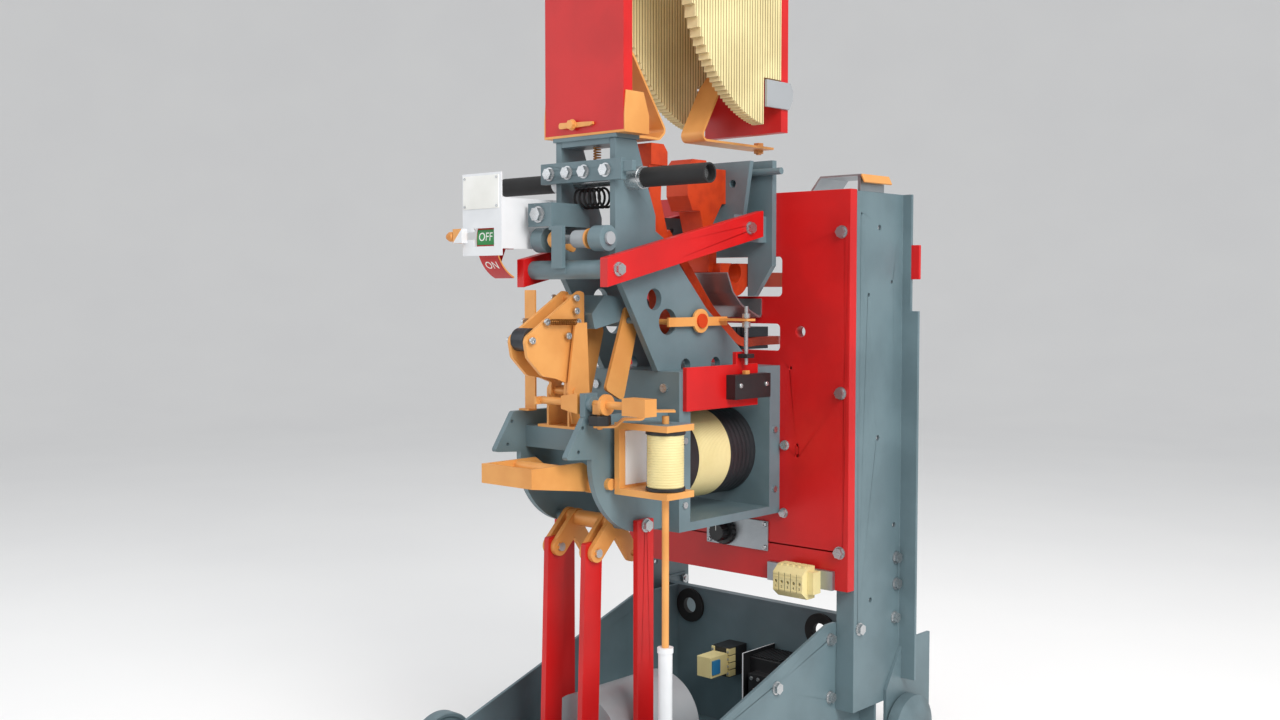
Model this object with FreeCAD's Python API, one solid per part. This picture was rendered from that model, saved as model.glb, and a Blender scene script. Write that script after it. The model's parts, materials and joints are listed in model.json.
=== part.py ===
import FreeCAD, Part
import math
import os

# High-speed circuit breaker on a wheeled truck. Millimetres, +X right, +Y back, +Z up.
# The heights start at the floor and y = 0 is the front face of the red panel.

# Placing of the finished breaker: moves y = 0 so that the depth is centred on the origin
FRAME_SHIFT = 142.5

# General clearances and small fasteners
SEAT_GAP = 0.3
BORE_GAP = 0.05
PIN_GAP = 0.6
SHEET = 6.0
BOLT_R = 5.0
SCREW_R = 3.0

# Red insulating panel
PANEL_W = 504.0
PANEL_T = 20.0
PANEL_BOTTOM = 335.0
PANEL_TOP = 1019.0
PANEL_BOLT_INSET = 16.4
PANEL_BOLT_Z = (401.0, 674.0, 947.0)
UPPER_CUT_W = 222.0
UPPER_CUT_Z = (838.0, 908.0)
LOWER_CUT_W = 214.0
LOWER_CUT_Z = (742.0, 790.0)
CUT_CORNER_R = 8.0
GUIDE_HOLE = (151.0, 777.0, 10.0)
PANEL_SMALL_HOLES = ((130.4, 713.0), (145.3, 579.0), (145.3, 560.0))
PANEL_SMALL_BOLTS = ((120.0, 577.0), (118.0, 457.0))

# Z-section columns
COLUMN_DEPTH = 152.0
COLUMN_BOTTOM = 122.0
COLUMN_TOP = 1017.0
FRONT_FLANGE = 36.0
REAR_FLANGE_TOP = 18.0
REAR_FLANGE_LOW = 33.0
REAR_FLANGE_STEP_Z = 812.0
REAR_FLANGE_BOTTOM = 154.0

# Truck base
GUSSET_X = 215.5
GUSSET_FRONT_Y = -545.0
GUSSET_REAR_Y = 97.0
GUSSET_FRONT_Z = 92.0
GUSSET_TOP_Z = 274.7
GUSSET_TOP_Y = 18.9
FLOOR_Z = 16.0
FLOOR_T = 4.0
REAR_WALL_TOP = 267.0
REAR_WALL_LIP = 18.0
GROMMET_X = (-176.0, 132.0)
GROMMET_Z = 230.0
GROMMET_HOLE_R = 28.0
GROMMET_R = 33.0
GROMMET_BORE_R = 15.0
WHEEL_R = 62.5
WHEEL_W = 34.0
WHEEL_Y = (-455.0, 172.0)
WHEEL_IN_X = 260.0
WHEEL_CAP_T = 5.0
AXLE_R = 12.0
BRACKET_Y = (117.0, 265.0)
BRACKET_Z = (24.0, 220.0)

# Holding magnet
BOX_W = 216.0
BOX_FRONT_Y = -272.8
BOX_BOTTOM = 456.5
BOX_TOP = 717.0
BOX_FRONT_T = 28.0
BOX_REAR_T = 30.0
BOX_PLATE_T = 14.0
BOX_SCREW_Z = (500.0, 605.0)
BOX_FRONT_SCREW = (76.0, 690.0)
COIL_Z = 566.0
COIL_R = 78.0
CORE_R = 34.0
COIL_FLANGE_R = 84.0
COIL_FLANGE_T = 16.0
COIL_REAR_LENGTH = 70.0
COIL_FRONT_LENGTH = 60.0

# Head on the magnet
HEAD_IN_X = 54.0
HEAD_OUT_X = 66.0
HEAD_FRONT_Y = -378.0
HEAD_TOP = 1087.0
CAP_TOP = 1093.5
HEAD_REAR_Y = -329.0
BRIDGE_T = 9.0
SIDE_FRAME_HOLES = ((-286.0, 834.0, 17.5), (-253.0, 797.0, 21.5), (-207.0, 723.0, 12.0), (-128.0, 723.0, 12.0))
BOLT_BAR_T = 12.0
BOLT_BAR_Z = (1020.0, 1053.0)
BOLT_BAR_HALF = 89.5
BOLT_BAR_TAB_X = 110.0
BOLT_BAR_BOLT_X = (-68.0, -27.0, 10.0, 57.0)
BOLT_BAR_BOLT_Z = 1036.0
ROD_BOLT_GRIP = 40.0
TIE_BOLT_GRIP = 18.0
BRACKET_FACE_Y = -432.0
BRACKET_BOLT = (-50.0, 969.0)
PIVOT_Y = -178.5
PIVOT_Z = 797.6
PIVOT_R = 12.0
ROD_Y = -409.0
ROD_Z = 881.0
ROD_R = 15.0
TIE_IN_X = 85.0
TIE_OUT_X = 101.0
TIE_REAR = (-79.4, 955.0)
TIE_HALF_H = 22.5
TIE_FRONT_REACH = 23.5
TIE_REAR_REACH = 38.4
HANDLE_Y = -342.0
HANDLE_Z = 1025.0
HANDLE_R = 10.0
GRIP_R = 15.5
GRIP_X = (102.0, 227.0)
CROSS_Z = 929.0
CROSS_R = 7.0
BUSH_R = 20.0
DRUM_X = (-150.0, -104.0)
DRUM_R = 67.0
DRUM_UP = 22.0
DRUM_DOWN = 66.0
HOUSING_Y = -480.0
WINDOW_X = (-151.0, -103.0)
WINDOW_Z = (919.0, 948.0)
CATCH_Z = 936.0
CATCH_R = 2.5
LEVER_Y = -320.0
LEVER_Z = 800.0
LEVER_PIN_R = 5.0

# Main contacts
FRAME_FACE_Y = -50.0
TIP_FACE_Y = -153.0
LOOP_Y = -45.0
LOOP_Z = 880.0
LOOP_R = 42.0
STAB_HALF_W = 42.0
STAB_Z = (855.0, 881.0)
STAB_END_Y = 150.0
STAB_HOLE_R = 7.0
STAB_HOLE_X = 22.0
STAB_HOLE_Y = (90.0, 130.0)
BAR_HALF_W = 20.0
BAR_Z = (748.0, 764.0)
BAR_END_Y = 120.0
PAD_FRONT_Y = 87.0
ARM_BACK = ((-196.0, 930.0), (-218.0, 1000.0))
JAW_COUNT = 4
JAW_HALF_W = 20.0

# Small switch worked by the moving contact
SWITCH_PLATE_X = 116.0
SWITCH_PLATE_Y = (-264.0, -75.0)
SWITCH_PLATE_Z = (653.0, 724.0)
SWITCH_X = 136.0
SWITCH_Y = (-162.0, -65.0)
SWITCH_Z = (667.0, 708.0)
STUD_X = 126.0
STUD_Y = -121.0
STUD_R = 3.5
STUD_Z = (723.8, 822.0)
GUIDE_Z = (735.0, 742.0)
BUTTON_TOP = 714.0
FOOT_PLATE_Z = (797.0, 801.0)
COLLAR_GAP = 1.6

# Arc chute
CHUTE_HALF_W = 86.8
CHUTE_FRONT_Y = (-381.5, -361.5)
CHUTE_REAR_Y = (28.0, 48.0)
CHUTE_BOTTOM = 1093.5
CHUTE_REAR_BOTTOM = 1128.0
CHUTE_TOP = 1610.0
LEG_IN_X = 63.8
PLATE_COUNT = 54
PLATE_GAP = 0.3
ARCH_TOP = 1419.0
ARCH_DEPTH = 285.0
ARCH_LENGTH = 240.0
ARCH_START_Y = 10.0
NOTCH_Y = -20.0
NOTCH_Z = 1218.0
HORN_HALF_W = 24.5
HORN_T = 4.0
LOCK_X = -20.0
LOCK_Z = 1112.0
LOCK_R = 4.0
HORN_BOLT_Y = 77.6

# Latch
CHEEK_OUT_X = 20.0
CHEEK_T = 6.0
LATCH_Y = -430.0
LATCH_Z = 690.0
ROLLER_Y = -510.0
ROLLER_Z = 773.0
ROLLER_R = 18.0
LATCH_PIN_R = 6.0
CROSS_PLATE_Y = (-440.0, -425.0)
CROSS_PLATE_BOTTOM = 598.0
CROSS_PLATE_TOP = 632.0

# Front frame, bail and bell crank
SIDE_IN_X = 74.0
SIDE_OUT_X = 84.0
SIDE_TOP = 656.0
DISC_Y = -330.0
DISC_Z = 585.0
DISC_R = 121.0
SHAFT_Y = -414.5
SHAFT_Z = 549.0
SHAFT_R = 9.0
BAIL_FRONT_Y = -550.0
CRANK_Y = -365.0
CRANK_Z = 478.0
CRANK_R = 8.0
LINK_Y = -407.0
LINK_Z = 436.0
LINK_R = 7.0
CRANK_TAIL = (-326.0, 425.0)
DRIVE_IN_X = 36.5
DRIVE_OUT_X = 46.5
DRIVE_W = 38.0
LINK_PLATE_T = 8.0
FOOT_Y = -420.0
FOOT_Z = 70.0
BASE_CRANK_Y = -475.0
BASE_CRANK_Z = 75.0
POST_IN_X = 84.0
POST_OUT_X = 94.0
POST_Y = -338.0
POST_TOP = 485.0
POST_BOLT_Z = 476.0

# Trip unit
TRIP_Y = -452.0
TRIP_Z = 676.0
TRIP_R = 6.0
KNOB_X = 103.0
KNOB_Z = (644.3, 659.0)
KNOB_R = 18.0
KNOB_STUD_R = 4.0
LEAF_Z = 641.0
TRIP_COIL_R = 30.5
TRIP_COIL_Z = (544.0, 636.0)
YOKE_X = (95.0, 105.0)
YOKE_T = 10.0
PLUNGER_X = 172.0
PLUNGER_Y = -380.0
PLUNGER_R = 5.5
PLUNGER_TOP = 658.0
SLEEVE_TOP = 302.0

# Panel controls
DIAL_X = -12.0
DIAL_Z = 411.0
TERMINAL_COUNT = 5
TERMINAL_PITCH = 12.4

# Closing solenoid
BASE_SHAFT_R = 9.0
SOLENOID_R = 83.0
SOLENOID_Y = (-385.0, -190.0)
SOLENOID_Z = 112.0
PLUNGER_NOSE_R = 18.0

PARTS = {}


def vec(x, y, z):
    return FreeCAD.Vector(x, y, z)


def block(x, y, z):
    """A box between two values on each axis."""
    return Part.makeBox(x[1] - x[0], y[1] - y[0], z[1] - z[0], vec(x[0], y[0], z[0]))


def rod_x(x, y, z, r):
    return Part.makeCylinder(r, x[1] - x[0], vec(x[0], y, z), vec(1, 0, 0))


def rod_y(x, y, z, r):
    return Part.makeCylinder(r, y[1] - y[0], vec(x, y[0], z), vec(0, 1, 0))


def rod_z(x, y, z, r):
    return Part.makeCylinder(r, z[1] - z[0], vec(x, y, z[0]), vec(0, 0, 1))


def corner(before, here, after, radius):
    """The two ends and the middle of the arc that rounds one corner of an outline."""
    back = before.sub(here).normalize()
    ahead = after.sub(here).normalize()
    half = back.getAngle(ahead) / 2.0
    reach = radius / math.tan(half)
    middle = back.add(ahead).normalize()
    centre = here.add(middle * (radius / math.sin(half)))
    return here.add(back * reach), centre.sub(middle * radius), here.add(ahead * reach)


def outline(points, place):
    """A flat face from points (a, b) or (a, b, corner radius); place turns a, b into a vector."""
    spots = [place(p[0], p[1]) for p in points]
    count = len(points)
    edges = []
    starts = []
    ends = []
    for i in range(count):
        if len(points[i]) == 3:
            first, middle, last = corner(spots[i - 1], spots[i], spots[(i + 1) % count], points[i][2])
            edges.append(Part.Arc(first, middle, last).toShape())
            starts.append(first)
            ends.append(last)
        else:
            starts.append(spots[i])
            ends.append(spots[i])
    for i in range(count):
        nxt = starts[(i + 1) % count]
        if ends[i].distanceToPoint(nxt) > 1e-6:
            edges.append(Part.makeLine(ends[i], nxt))
    return Part.Face(Part.Wire(Part.__sortEdges__(edges)))


def profile_x(points, x):
    """An outline in y and z, carried from x[0] to x[1]."""
    return outline(points, lambda a, b: vec(x[0], a, b)).extrude(vec(x[1] - x[0], 0, 0))


def profile_y(points, y):
    """An outline in x and z, carried from y[0] to y[1]."""
    return outline(points, lambda a, b: vec(a, y[0], b)).extrude(vec(0, y[1] - y[0], 0))


def profile_z(points, z):
    """An outline in x and y, carried from z[0] to z[1]."""
    return outline(points, lambda a, b: vec(a, b, z[0])).extrude(vec(0, 0, z[1] - z[0]))


def ribbon(path, thickness):
    """Outline of a bent strip: path is its one face, the other lies one thickness to the left."""
    left = []
    right = []
    last = len(path) - 1
    for i, point in enumerate(path):
        here = vec(point[0], point[1], 0)
        steps = []
        for j in (i - 1, i):
            if 0 <= j < last:
                step = vec(path[j + 1][0] - path[j][0], path[j + 1][1] - path[j][1], 0).normalize()
                steps.append(vec(-step.y, step.x, 0))
        normal = steps[0]
        if len(steps) == 2:
            normal = steps[0].add(steps[1]).normalize()
        side = here.add(normal * (thickness / normal.dot(steps[0])))
        if len(point) == 3:
            turn = steps[0].cross(steps[1]).z
            r = point[2]
            outer = r + thickness
            right.append((here.x, here.y, outer if turn > 0 else r))
            left.append((side.x, side.y, r if turn > 0 else outer))
        else:
            right.append((here.x, here.y))
            left.append((side.x, side.y))
    return right + left[::-1]


def joined(shapes):
    """One solid from pieces that are welded or cast together."""
    whole = shapes[0]
    for shape in shapes[1:]:
        whole = whole.fuse(shape)
    return whole.removeSplitter()


def less(shape, tools):
    for tool in tools:
        shape = shape.cut(tool)
    return shape


def mirrored(shape):
    """The same piece on the other side of the middle plane."""
    return shape.mirror(vec(0, 0, 0), vec(1, 0, 0))


def both_sides(shape):
    return [shape, mirrored(shape)]


def bar(start, end, half_w, x, end_r=None):
    """A flat bar in the y, z plane between two eyes, with round ends about each of them."""
    a = vec(x[0], start[0], start[1])
    b = vec(x[0], end[0], end[1])
    along = b.sub(a).normalize()
    across = vec(0, -along.z, along.y) * half_w
    tip = along * half_w
    edges = [
        Part.makeLine(a.add(across), b.add(across)),
        Part.Arc(b.add(across), b.add(tip), b.sub(across)).toShape(),
        Part.makeLine(b.sub(across), a.sub(across)),
        Part.Arc(a.sub(across), a.sub(tip), a.add(across)).toShape(),
    ]
    face = Part.Face(Part.Wire(Part.__sortEdges__(edges)))
    return face.extrude(vec(x[1] - x[0], 0, 0))


def bolt(seat, outward, radius, grip, nut=True):
    """A hexagon bolt made up with its washer and nut; seat is where the washer lies."""
    head_h = 1.3 * radius
    washer_t = 0.4 * radius
    corners = []
    for i in range(7):
        angle = math.radians(60.0 * i)
        corners.append(vec(1.9 * radius * math.cos(angle), 1.9 * radius * math.sin(angle), 0))
    hexagon = Part.Face(Part.makePolygon(corners))
    head = hexagon.extrude(vec(0, 0, head_h))
    head.translate(vec(0, 0, washer_t))
    washer = Part.makeCylinder(2.2 * radius, washer_t)
    shank = Part.makeCylinder(radius, grip + washer_t, vec(0, 0, -grip))
    pieces = [head, washer, shank]
    if nut:
        backing = hexagon.extrude(vec(0, 0, head_h))
        backing.translate(vec(0, 0, -grip - head_h))
        pieces.append(backing)
        pieces.append(Part.makeCylinder(radius, head_h + 2.0, vec(0, 0, -grip - head_h - 2.0)))
    made = joined(pieces)
    made.Placement = FreeCAD.Placement(vec(*seat), FreeCAD.Rotation(vec(0, 0, 1), vec(*outward)))
    return made


def screw(seat, outward, radius):
    """The low round head of a screw."""
    head = Part.makeCylinder(1.8 * radius, 0.9 * radius)
    head.Placement = FreeCAD.Placement(vec(*seat), FreeCAD.Rotation(vec(0, 0, 1), vec(*outward)))
    return head


def keep(name, shapes):
    """Store the solids of one sub-part, moved to the frame of the finished breaker."""
    solids = []
    for shape in shapes:
        for solid in shape.Solids:
            placed = solid.copy()
            placed.translate(vec(0, FRAME_SHIFT, 0))
            solids.append(placed)
    PARTS[name] = Part.makeCompound(solids)


COLUMN_X = PANEL_W / 2.0
COLUMN_IN_X = COLUMN_X - SHEET
FLANGE_IN_X = COLUMN_X - FRONT_FLANGE
COLUMN_BACK_Y = PANEL_T + COLUMN_DEPTH
PANEL_BOLT_X = COLUMN_X - PANEL_BOLT_INSET
BOX_X = BOX_W / 2.0
WEB_HOLES = ((91.1, 956.7, 5.0), (34.8, 978.4, 2.5), (132.4, 863.2, 3.5), (58.7, 840.6, 3.5),
             (91.5, 591.8, 5.0), (72.0, 310.1, 4.5), (146.8, 432.0, 5.0))
WEB_BOLTS = ((36.3, 265.7), (149.9, 266.0), (154.0, 372.9), (154.0, 325.9))
BASE_BOLTS = ((2.0, 248.0), (2.0, 147.0), (-153.6, 197.3))


def panel():
    plate = block((-COLUMN_X, COLUMN_X), (0, PANEL_T), (PANEL_BOTTOM, PANEL_TOP))
    cuts = []
    for width, z in ((UPPER_CUT_W, UPPER_CUT_Z), (LOWER_CUT_W, LOWER_CUT_Z)):
        half = width / 2.0
        r = CUT_CORNER_R
        cuts.append(profile_y([(-half, z[0], r), (half, z[0], r), (half, z[1], r), (-half, z[1], r)],
                              (-1, PANEL_T + 1)))
    for side in (-1, 1):
        for z in PANEL_BOLT_Z:
            cuts.append(rod_y(side * PANEL_BOLT_X, (-1, PANEL_T + 1), z, BOLT_R + BORE_GAP))
    cuts.append(rod_y(GUIDE_HOLE[0], (-1, PANEL_T + 1), GUIDE_HOLE[1], GUIDE_HOLE[2]))
    for x, z in PANEL_SMALL_HOLES:
        cuts.append(rod_y(x, (-1, PANEL_T + 1), z, SCREW_R))
    keep("panel", [less(plate, cuts)])


def right_column():
    y0 = PANEL_T
    y1 = COLUMN_BACK_Y
    tall = (COLUMN_BOTTOM, COLUMN_TOP)
    web = block((COLUMN_IN_X, COLUMN_X), (y0, y1), tall)
    front = block((FLANGE_IN_X, COLUMN_X), (y0, y0 + SHEET), tall)
    rear_top = block((COLUMN_IN_X, COLUMN_X + REAR_FLANGE_TOP), (y1 - SHEET, y1),
                     (REAR_FLANGE_BOTTOM, COLUMN_TOP))
    rear_low = block((COLUMN_IN_X, COLUMN_X + REAR_FLANGE_LOW), (y1 - SHEET, y1),
                     (REAR_FLANGE_BOTTOM, REAR_FLANGE_STEP_Z))
    section = joined([web, front, rear_top, rear_low])
    cuts = []
    for z in PANEL_BOLT_Z:
        cuts.append(rod_y(PANEL_BOLT_X, (y0 - 1, y0 + SHEET + 1), z, BOLT_R + BORE_GAP))
    for y, z, r in WEB_HOLES:
        cuts.append(rod_x((COLUMN_IN_X - 1, COLUMN_X + 1), y, z, r))
    for y, z in WEB_BOLTS:
        cuts.append(rod_x((COLUMN_IN_X - 1, COLUMN_X + 1), y, z, BOLT_R + BORE_GAP))
    return less(section, cuts)


def columns():
    right = right_column()
    keep("columns", both_sides(right))


def base():
    x = (GUSSET_X - SHEET, GUSSET_X)
    side = profile_x([(GUSSET_FRONT_Y, FLOOR_Z - FLOOR_T), (GUSSET_REAR_Y, FLOOR_Z - FLOOR_T),
                      (GUSSET_REAR_Y, REAR_WALL_TOP), (GUSSET_TOP_Y + 8.0, REAR_WALL_TOP),
                      (GUSSET_TOP_Y, GUSSET_TOP_Z), (GUSSET_TOP_Y - 26.0, GUSSET_TOP_Z),
                      (GUSSET_FRONT_Y, GUSSET_FRONT_Z)], x)
    holes = [rod_x((x[0] - 1, x[1] + 1), y, z, BOLT_R + BORE_GAP) for y, z in BASE_BOLTS]
    holes.append(rod_x((x[0] - 1, x[1] + 1), WHEEL_Y[0], WHEEL_R, AXLE_R + BORE_GAP))
    side = less(side, holes)
    inner = (-GUSSET_X + SHEET, GUSSET_X - SHEET)
    floor = block(inner, (GUSSET_FRONT_Y + SHEET, GUSSET_REAR_Y), (FLOOR_Z - FLOOR_T, FLOOR_Z))
    front = block(inner, (GUSSET_FRONT_Y, GUSSET_FRONT_Y + SHEET), (FLOOR_Z - FLOOR_T, GUSSET_FRONT_Z - 8.0))
    tub = joined([side, mirrored(side), floor, front])
    wall = block((-COLUMN_IN_X, COLUMN_IN_X), (GUSSET_REAR_Y, GUSSET_REAR_Y + SHEET),
                 (FLOOR_Z - FLOOR_T, REAR_WALL_TOP))
    lip = block((-COLUMN_IN_X, COLUMN_IN_X), (GUSSET_REAR_Y, GUSSET_REAR_Y + REAR_WALL_LIP),
                (REAR_WALL_TOP - SHEET, REAR_WALL_TOP))
    wing = block((COLUMN_IN_X - SHEET, COLUMN_IN_X), (GUSSET_REAR_Y, GUSSET_REAR_Y + 65.0),
                 (COLUMN_BOTTOM, REAR_WALL_TOP + 10.0))
    wall = joined([wall, lip, wing, mirrored(wing)])
    cuts = [rod_y(gx, (GUSSET_REAR_Y - 1, GUSSET_REAR_Y + SHEET + 1), GROMMET_Z, GROMMET_HOLE_R)
            for gx in GROMMET_X]
    y, z = WEB_BOLTS[1]
    cuts.append(rod_x((-COLUMN_X, COLUMN_X), y, z, BOLT_R + BORE_GAP))
    keep("base_frame", [tub, less(wall, cuts)])
    rings = []
    for gx in GROMMET_X:
        lip_front = rod_y(gx, (GUSSET_REAR_Y - 5.0, GUSSET_REAR_Y), GROMMET_Z, GROMMET_R)
        sleeve = rod_y(gx, (GUSSET_REAR_Y - 5.0, GUSSET_REAR_Y + SHEET), GROMMET_Z, GROMMET_HOLE_R)
        bore = rod_y(gx, (GUSSET_REAR_Y - 6.0, GUSSET_REAR_Y + SHEET + 1), GROMMET_Z, GROMMET_BORE_R)
        rings.append(joined([lip_front, sleeve]).cut(bore))
    keep("grommets", rings)


def bolts_and_screws():
    """Every fixed bolt of the truck and panel, and the screw heads on the magnet."""
    made = []
    for side in (-1, 1):
        for z in PANEL_BOLT_Z:
            made.append(bolt((side * PANEL_BOLT_X, 0, z), (0, -1, 0), BOLT_R, PANEL_T + SHEET))
        for y, z in BASE_BOLTS:
            made.append(bolt((side * GUSSET_X, y, z), (side, 0, 0), BOLT_R, SHEET))
        for i, spot in enumerate(WEB_BOLTS):
            grip = 2 * SHEET if i == 1 else SHEET
            made.append(bolt((side * COLUMN_X, spot[0], spot[1]), (side, 0, 0), BOLT_R, grip))
        for y in (BOX_FRONT_Y + BOX_FRONT_T / 2.0, -BOX_REAR_T / 2.0):
            for z in BOX_SCREW_Z:
                made.append(screw((side * BOX_X, y, z), (side, 0, 0), SCREW_R))
        made.append(screw((side * BOX_FRONT_SCREW[0], BOX_FRONT_Y, BOX_FRONT_SCREW[1]), (0, -1, 0), SCREW_R + 1.0))
    for x, z in PANEL_SMALL_BOLTS:
        made.append(bolt((x, 0, z), (0, -1, 0), SCREW_R + 1.0, 0, nut=False))
    keep("truck_bolts", made)


def wheels():
    y0, y1 = BRACKET_Y
    z0, z1 = BRACKET_Z
    plate = profile_x([(y0, 62.0), (y0 + 30.0, z0), (y1 - 30.0, z0), (y1, 62.0), (y1, z1),
                       (y0 + 54.0, z1), (y0, z1 - 78.0)], (COLUMN_X, COLUMN_X + SHEET))
    clear = block((COLUMN_X - 1, COLUMN_X + SHEET + 1), (COLUMN_BACK_Y - SHEET - SEAT_GAP, COLUMN_BACK_Y + SEAT_GAP),
                  (REAR_FLANGE_BOTTOM - SEAT_GAP, z1 + 1))
    axle_hole = rod_x((COLUMN_X - 1, COLUMN_X + SHEET + 1), WHEEL_Y[1], WHEEL_R, AXLE_R + BORE_GAP)
    plate = less(plate, [clear, axle_hole])
    rear = rod_x((COLUMN_X - 10.0, WHEEL_IN_X + WHEEL_W - 6.0), WHEEL_Y[1], WHEEL_R, AXLE_R)
    front = rod_x((GUSSET_X - SHEET - 8.0, WHEEL_IN_X + WHEEL_W - 6.0), WHEEL_Y[0], WHEEL_R, AXLE_R)
    collar = rod_x((GUSSET_X, WHEEL_IN_X - SEAT_GAP), WHEEL_Y[0], WHEEL_R, AXLE_R + 8.0)
    thrust = rod_x((COLUMN_X + SHEET, WHEEL_IN_X - SEAT_GAP), WHEEL_Y[1], WHEEL_R, AXLE_R + 8.0)
    keep("wheel_brackets", both_sides(plate) + both_sides(joined([rear, thrust])) + both_sides(joined([front, collar])))
    for label, y in zip(("front", "rear"), WHEEL_Y):
        made = wheel(y)
        keep("wheel_%s_right" % label, [made])
        keep("wheel_%s_left" % label, [mirrored(made)])


def wheel(y):
    """A turned wheel: flat tread, hub and a domed outer face over the axle's end."""
    x0 = WHEEL_IN_X
    x1 = WHEEL_IN_X + WHEEL_W
    bore = AXLE_R + BORE_GAP
    half = [(x0, bore), (x0, 24.0), (x0 + 4.0, 30.0), (x0 + 4.0, 52.0), (x0, 56.0),
            (x0, WHEEL_R - 2.0), (x0 + 2.0, WHEEL_R), (x1 - 12.0, WHEEL_R)]
    spots = [vec(x, y, WHEEL_R + r) for x, r in half]
    crown = vec(x1, y, WHEEL_R + bore)
    bulge = vec(x1 - 3.0, y, WHEEL_R + 0.62 * WHEEL_R)
    edges = [Part.makeLine(a, b) for a, b in zip(spots[:-1], spots[1:])]
    edges.append(Part.Arc(spots[-1], bulge, crown).toShape())
    edges.append(Part.makeLine(crown, spots[0]))
    face = Part.Face(Part.Wire(Part.__sortEdges__(edges)))
    ring = face.revolve(vec(x0, y, WHEEL_R), vec(1, 0, 0), 360)
    cap = rod_x((x1 - WHEEL_CAP_T, x1 + 2.0), y, WHEEL_R, bore + 3.0)
    return joined([ring, cap])


def magnet():
    front_y = (BOX_FRONT_Y, BOX_FRONT_Y + BOX_FRONT_T)
    rear_y = (-BOX_REAR_T, 0)
    inner = (front_y[1], rear_y[0])
    span = (BOX_BOTTOM, BOX_TOP)
    wide = (-BOX_X, BOX_X)
    core = rod_y(0, inner, COIL_Z, CORE_R)
    keep("magnet_plates", [block(wide, front_y, span), block(wide, rear_y, span), core,
                           block(wide, inner, (BOX_TOP - BOX_PLATE_T, BOX_TOP)),
                           block(wide, inner, (BOX_BOTTOM, BOX_BOTTOM + BOX_PLATE_T))])
    a, b = inner
    winding_y = (a + COIL_FRONT_LENGTH, b - COIL_REAR_LENGTH)
    bore = rod_y(0, (a - 1, b + 1), COIL_Z, CORE_R + SEAT_GAP)
    front = joined([rod_y(0, (a, a + COIL_FLANGE_T), COIL_Z, COIL_FLANGE_R), rod_y(0, (a, winding_y[0]), COIL_Z, COIL_R)])
    keep("coil_flanges", [front.cut(bore),
                          rod_y(0, (winding_y[1], b), COIL_Z, COIL_R).cut(bore)])
    keep("coil_winding", [rod_y(0, winding_y, COIL_Z, COIL_R).cut(bore)])


def side_frame_points():
    return [(-277.0, BOX_TOP), (-46.0, BOX_TOP), (-53.0, 743.0), (-154.0, 819.0), (-215.0, 882.0),
            (-262.0, 933.0), (-283.0, 944.0), (-283.0, 969.0), (-300.0, 1010.0), (-314.0, 1048.0),
            (-329.0, HEAD_TOP), (HEAD_FRONT_Y, HEAD_TOP), (HEAD_FRONT_Y, 880.0), (-363.0, 857.0)]


def head():
    """The two side frames on the magnet, the cap that ties them and the bolted bar in front."""
    x = (HEAD_IN_X, HEAD_OUT_X)
    wide = (x[0] - 1, x[1] + 1)
    plate = profile_x(side_frame_points(), x)
    cuts = [rod_x(wide, y, z, r) for y, z, r in SIDE_FRAME_HOLES]
    cuts.append(rod_x(wide, PIVOT_Y, PIVOT_Z, PIVOT_R + BORE_GAP))
    cuts.append(rod_x(wide, HANDLE_Y, HANDLE_Z, HANDLE_R + BORE_GAP))
    keep("side_frames", both_sides(less(plate, cuts)))
    bridge = block((-HEAD_IN_X, HEAD_IN_X), (HEAD_FRONT_Y, HEAD_REAR_Y), (HEAD_TOP - BRIDGE_T, HEAD_TOP))
    cap = block((-HEAD_OUT_X - 4.0, HEAD_OUT_X + 4.0), (HEAD_FRONT_Y - 3.0, HEAD_REAR_Y + 3.0), (HEAD_TOP, CAP_TOP))
    front = (HEAD_FRONT_Y - BOLT_BAR_T, HEAD_FRONT_Y)
    low, high = BOLT_BAR_Z
    strip = block((-BOLT_BAR_HALF, BOLT_BAR_HALF), front, (low, high))
    tab = block((BOLT_BAR_HALF, BOLT_BAR_TAB_X), (front[0] + 3.0, front[1]), (low + 12.0, high - 5.0))
    strip = joined([strip, tab])
    wide_y = (front[0] - 1, front[1] + 1)
    strip = less(strip, [rod_y(sx, wide_y, BOLT_BAR_BOLT_Z, BOLT_R + BORE_GAP) for sx in BOLT_BAR_BOLT_X])
    keep("head_cap", [joined([bridge, cap]), strip])
    made = []
    for sx in BOLT_BAR_BOLT_X:
        made.append(bolt((sx, front[0], BOLT_BAR_BOLT_Z), (0, -1, 0), BOLT_R, BOLT_BAR_T, nut=abs(sx) < HEAD_IN_X - 10))
    for side in (-1, 1):
        made.append(bolt((side * TIE_OUT_X, ROD_Y, ROD_Z), (side, 0, 0), BOLT_R, ROD_BOLT_GRIP, nut=False))
        made.append(bolt((side * TIE_OUT_X, TIE_REAR[0], TIE_REAR[1]), (side, 0, 0), BOLT_R, TIE_BOLT_GRIP, nut=False))
        made.append(bolt((side * POST_OUT_X, POST_Y, POST_BOLT_Z), (side, 0, 0), BOLT_R,
                         POST_OUT_X - POST_IN_X, nut=False))
    made.append(bolt((BRACKET_BOLT[0], BRACKET_FACE_Y, BRACKET_BOLT[1]), (0, -1, 0), BOLT_R + 1.0, 0, nut=False))
    keep("head_bolts", made)


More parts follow.
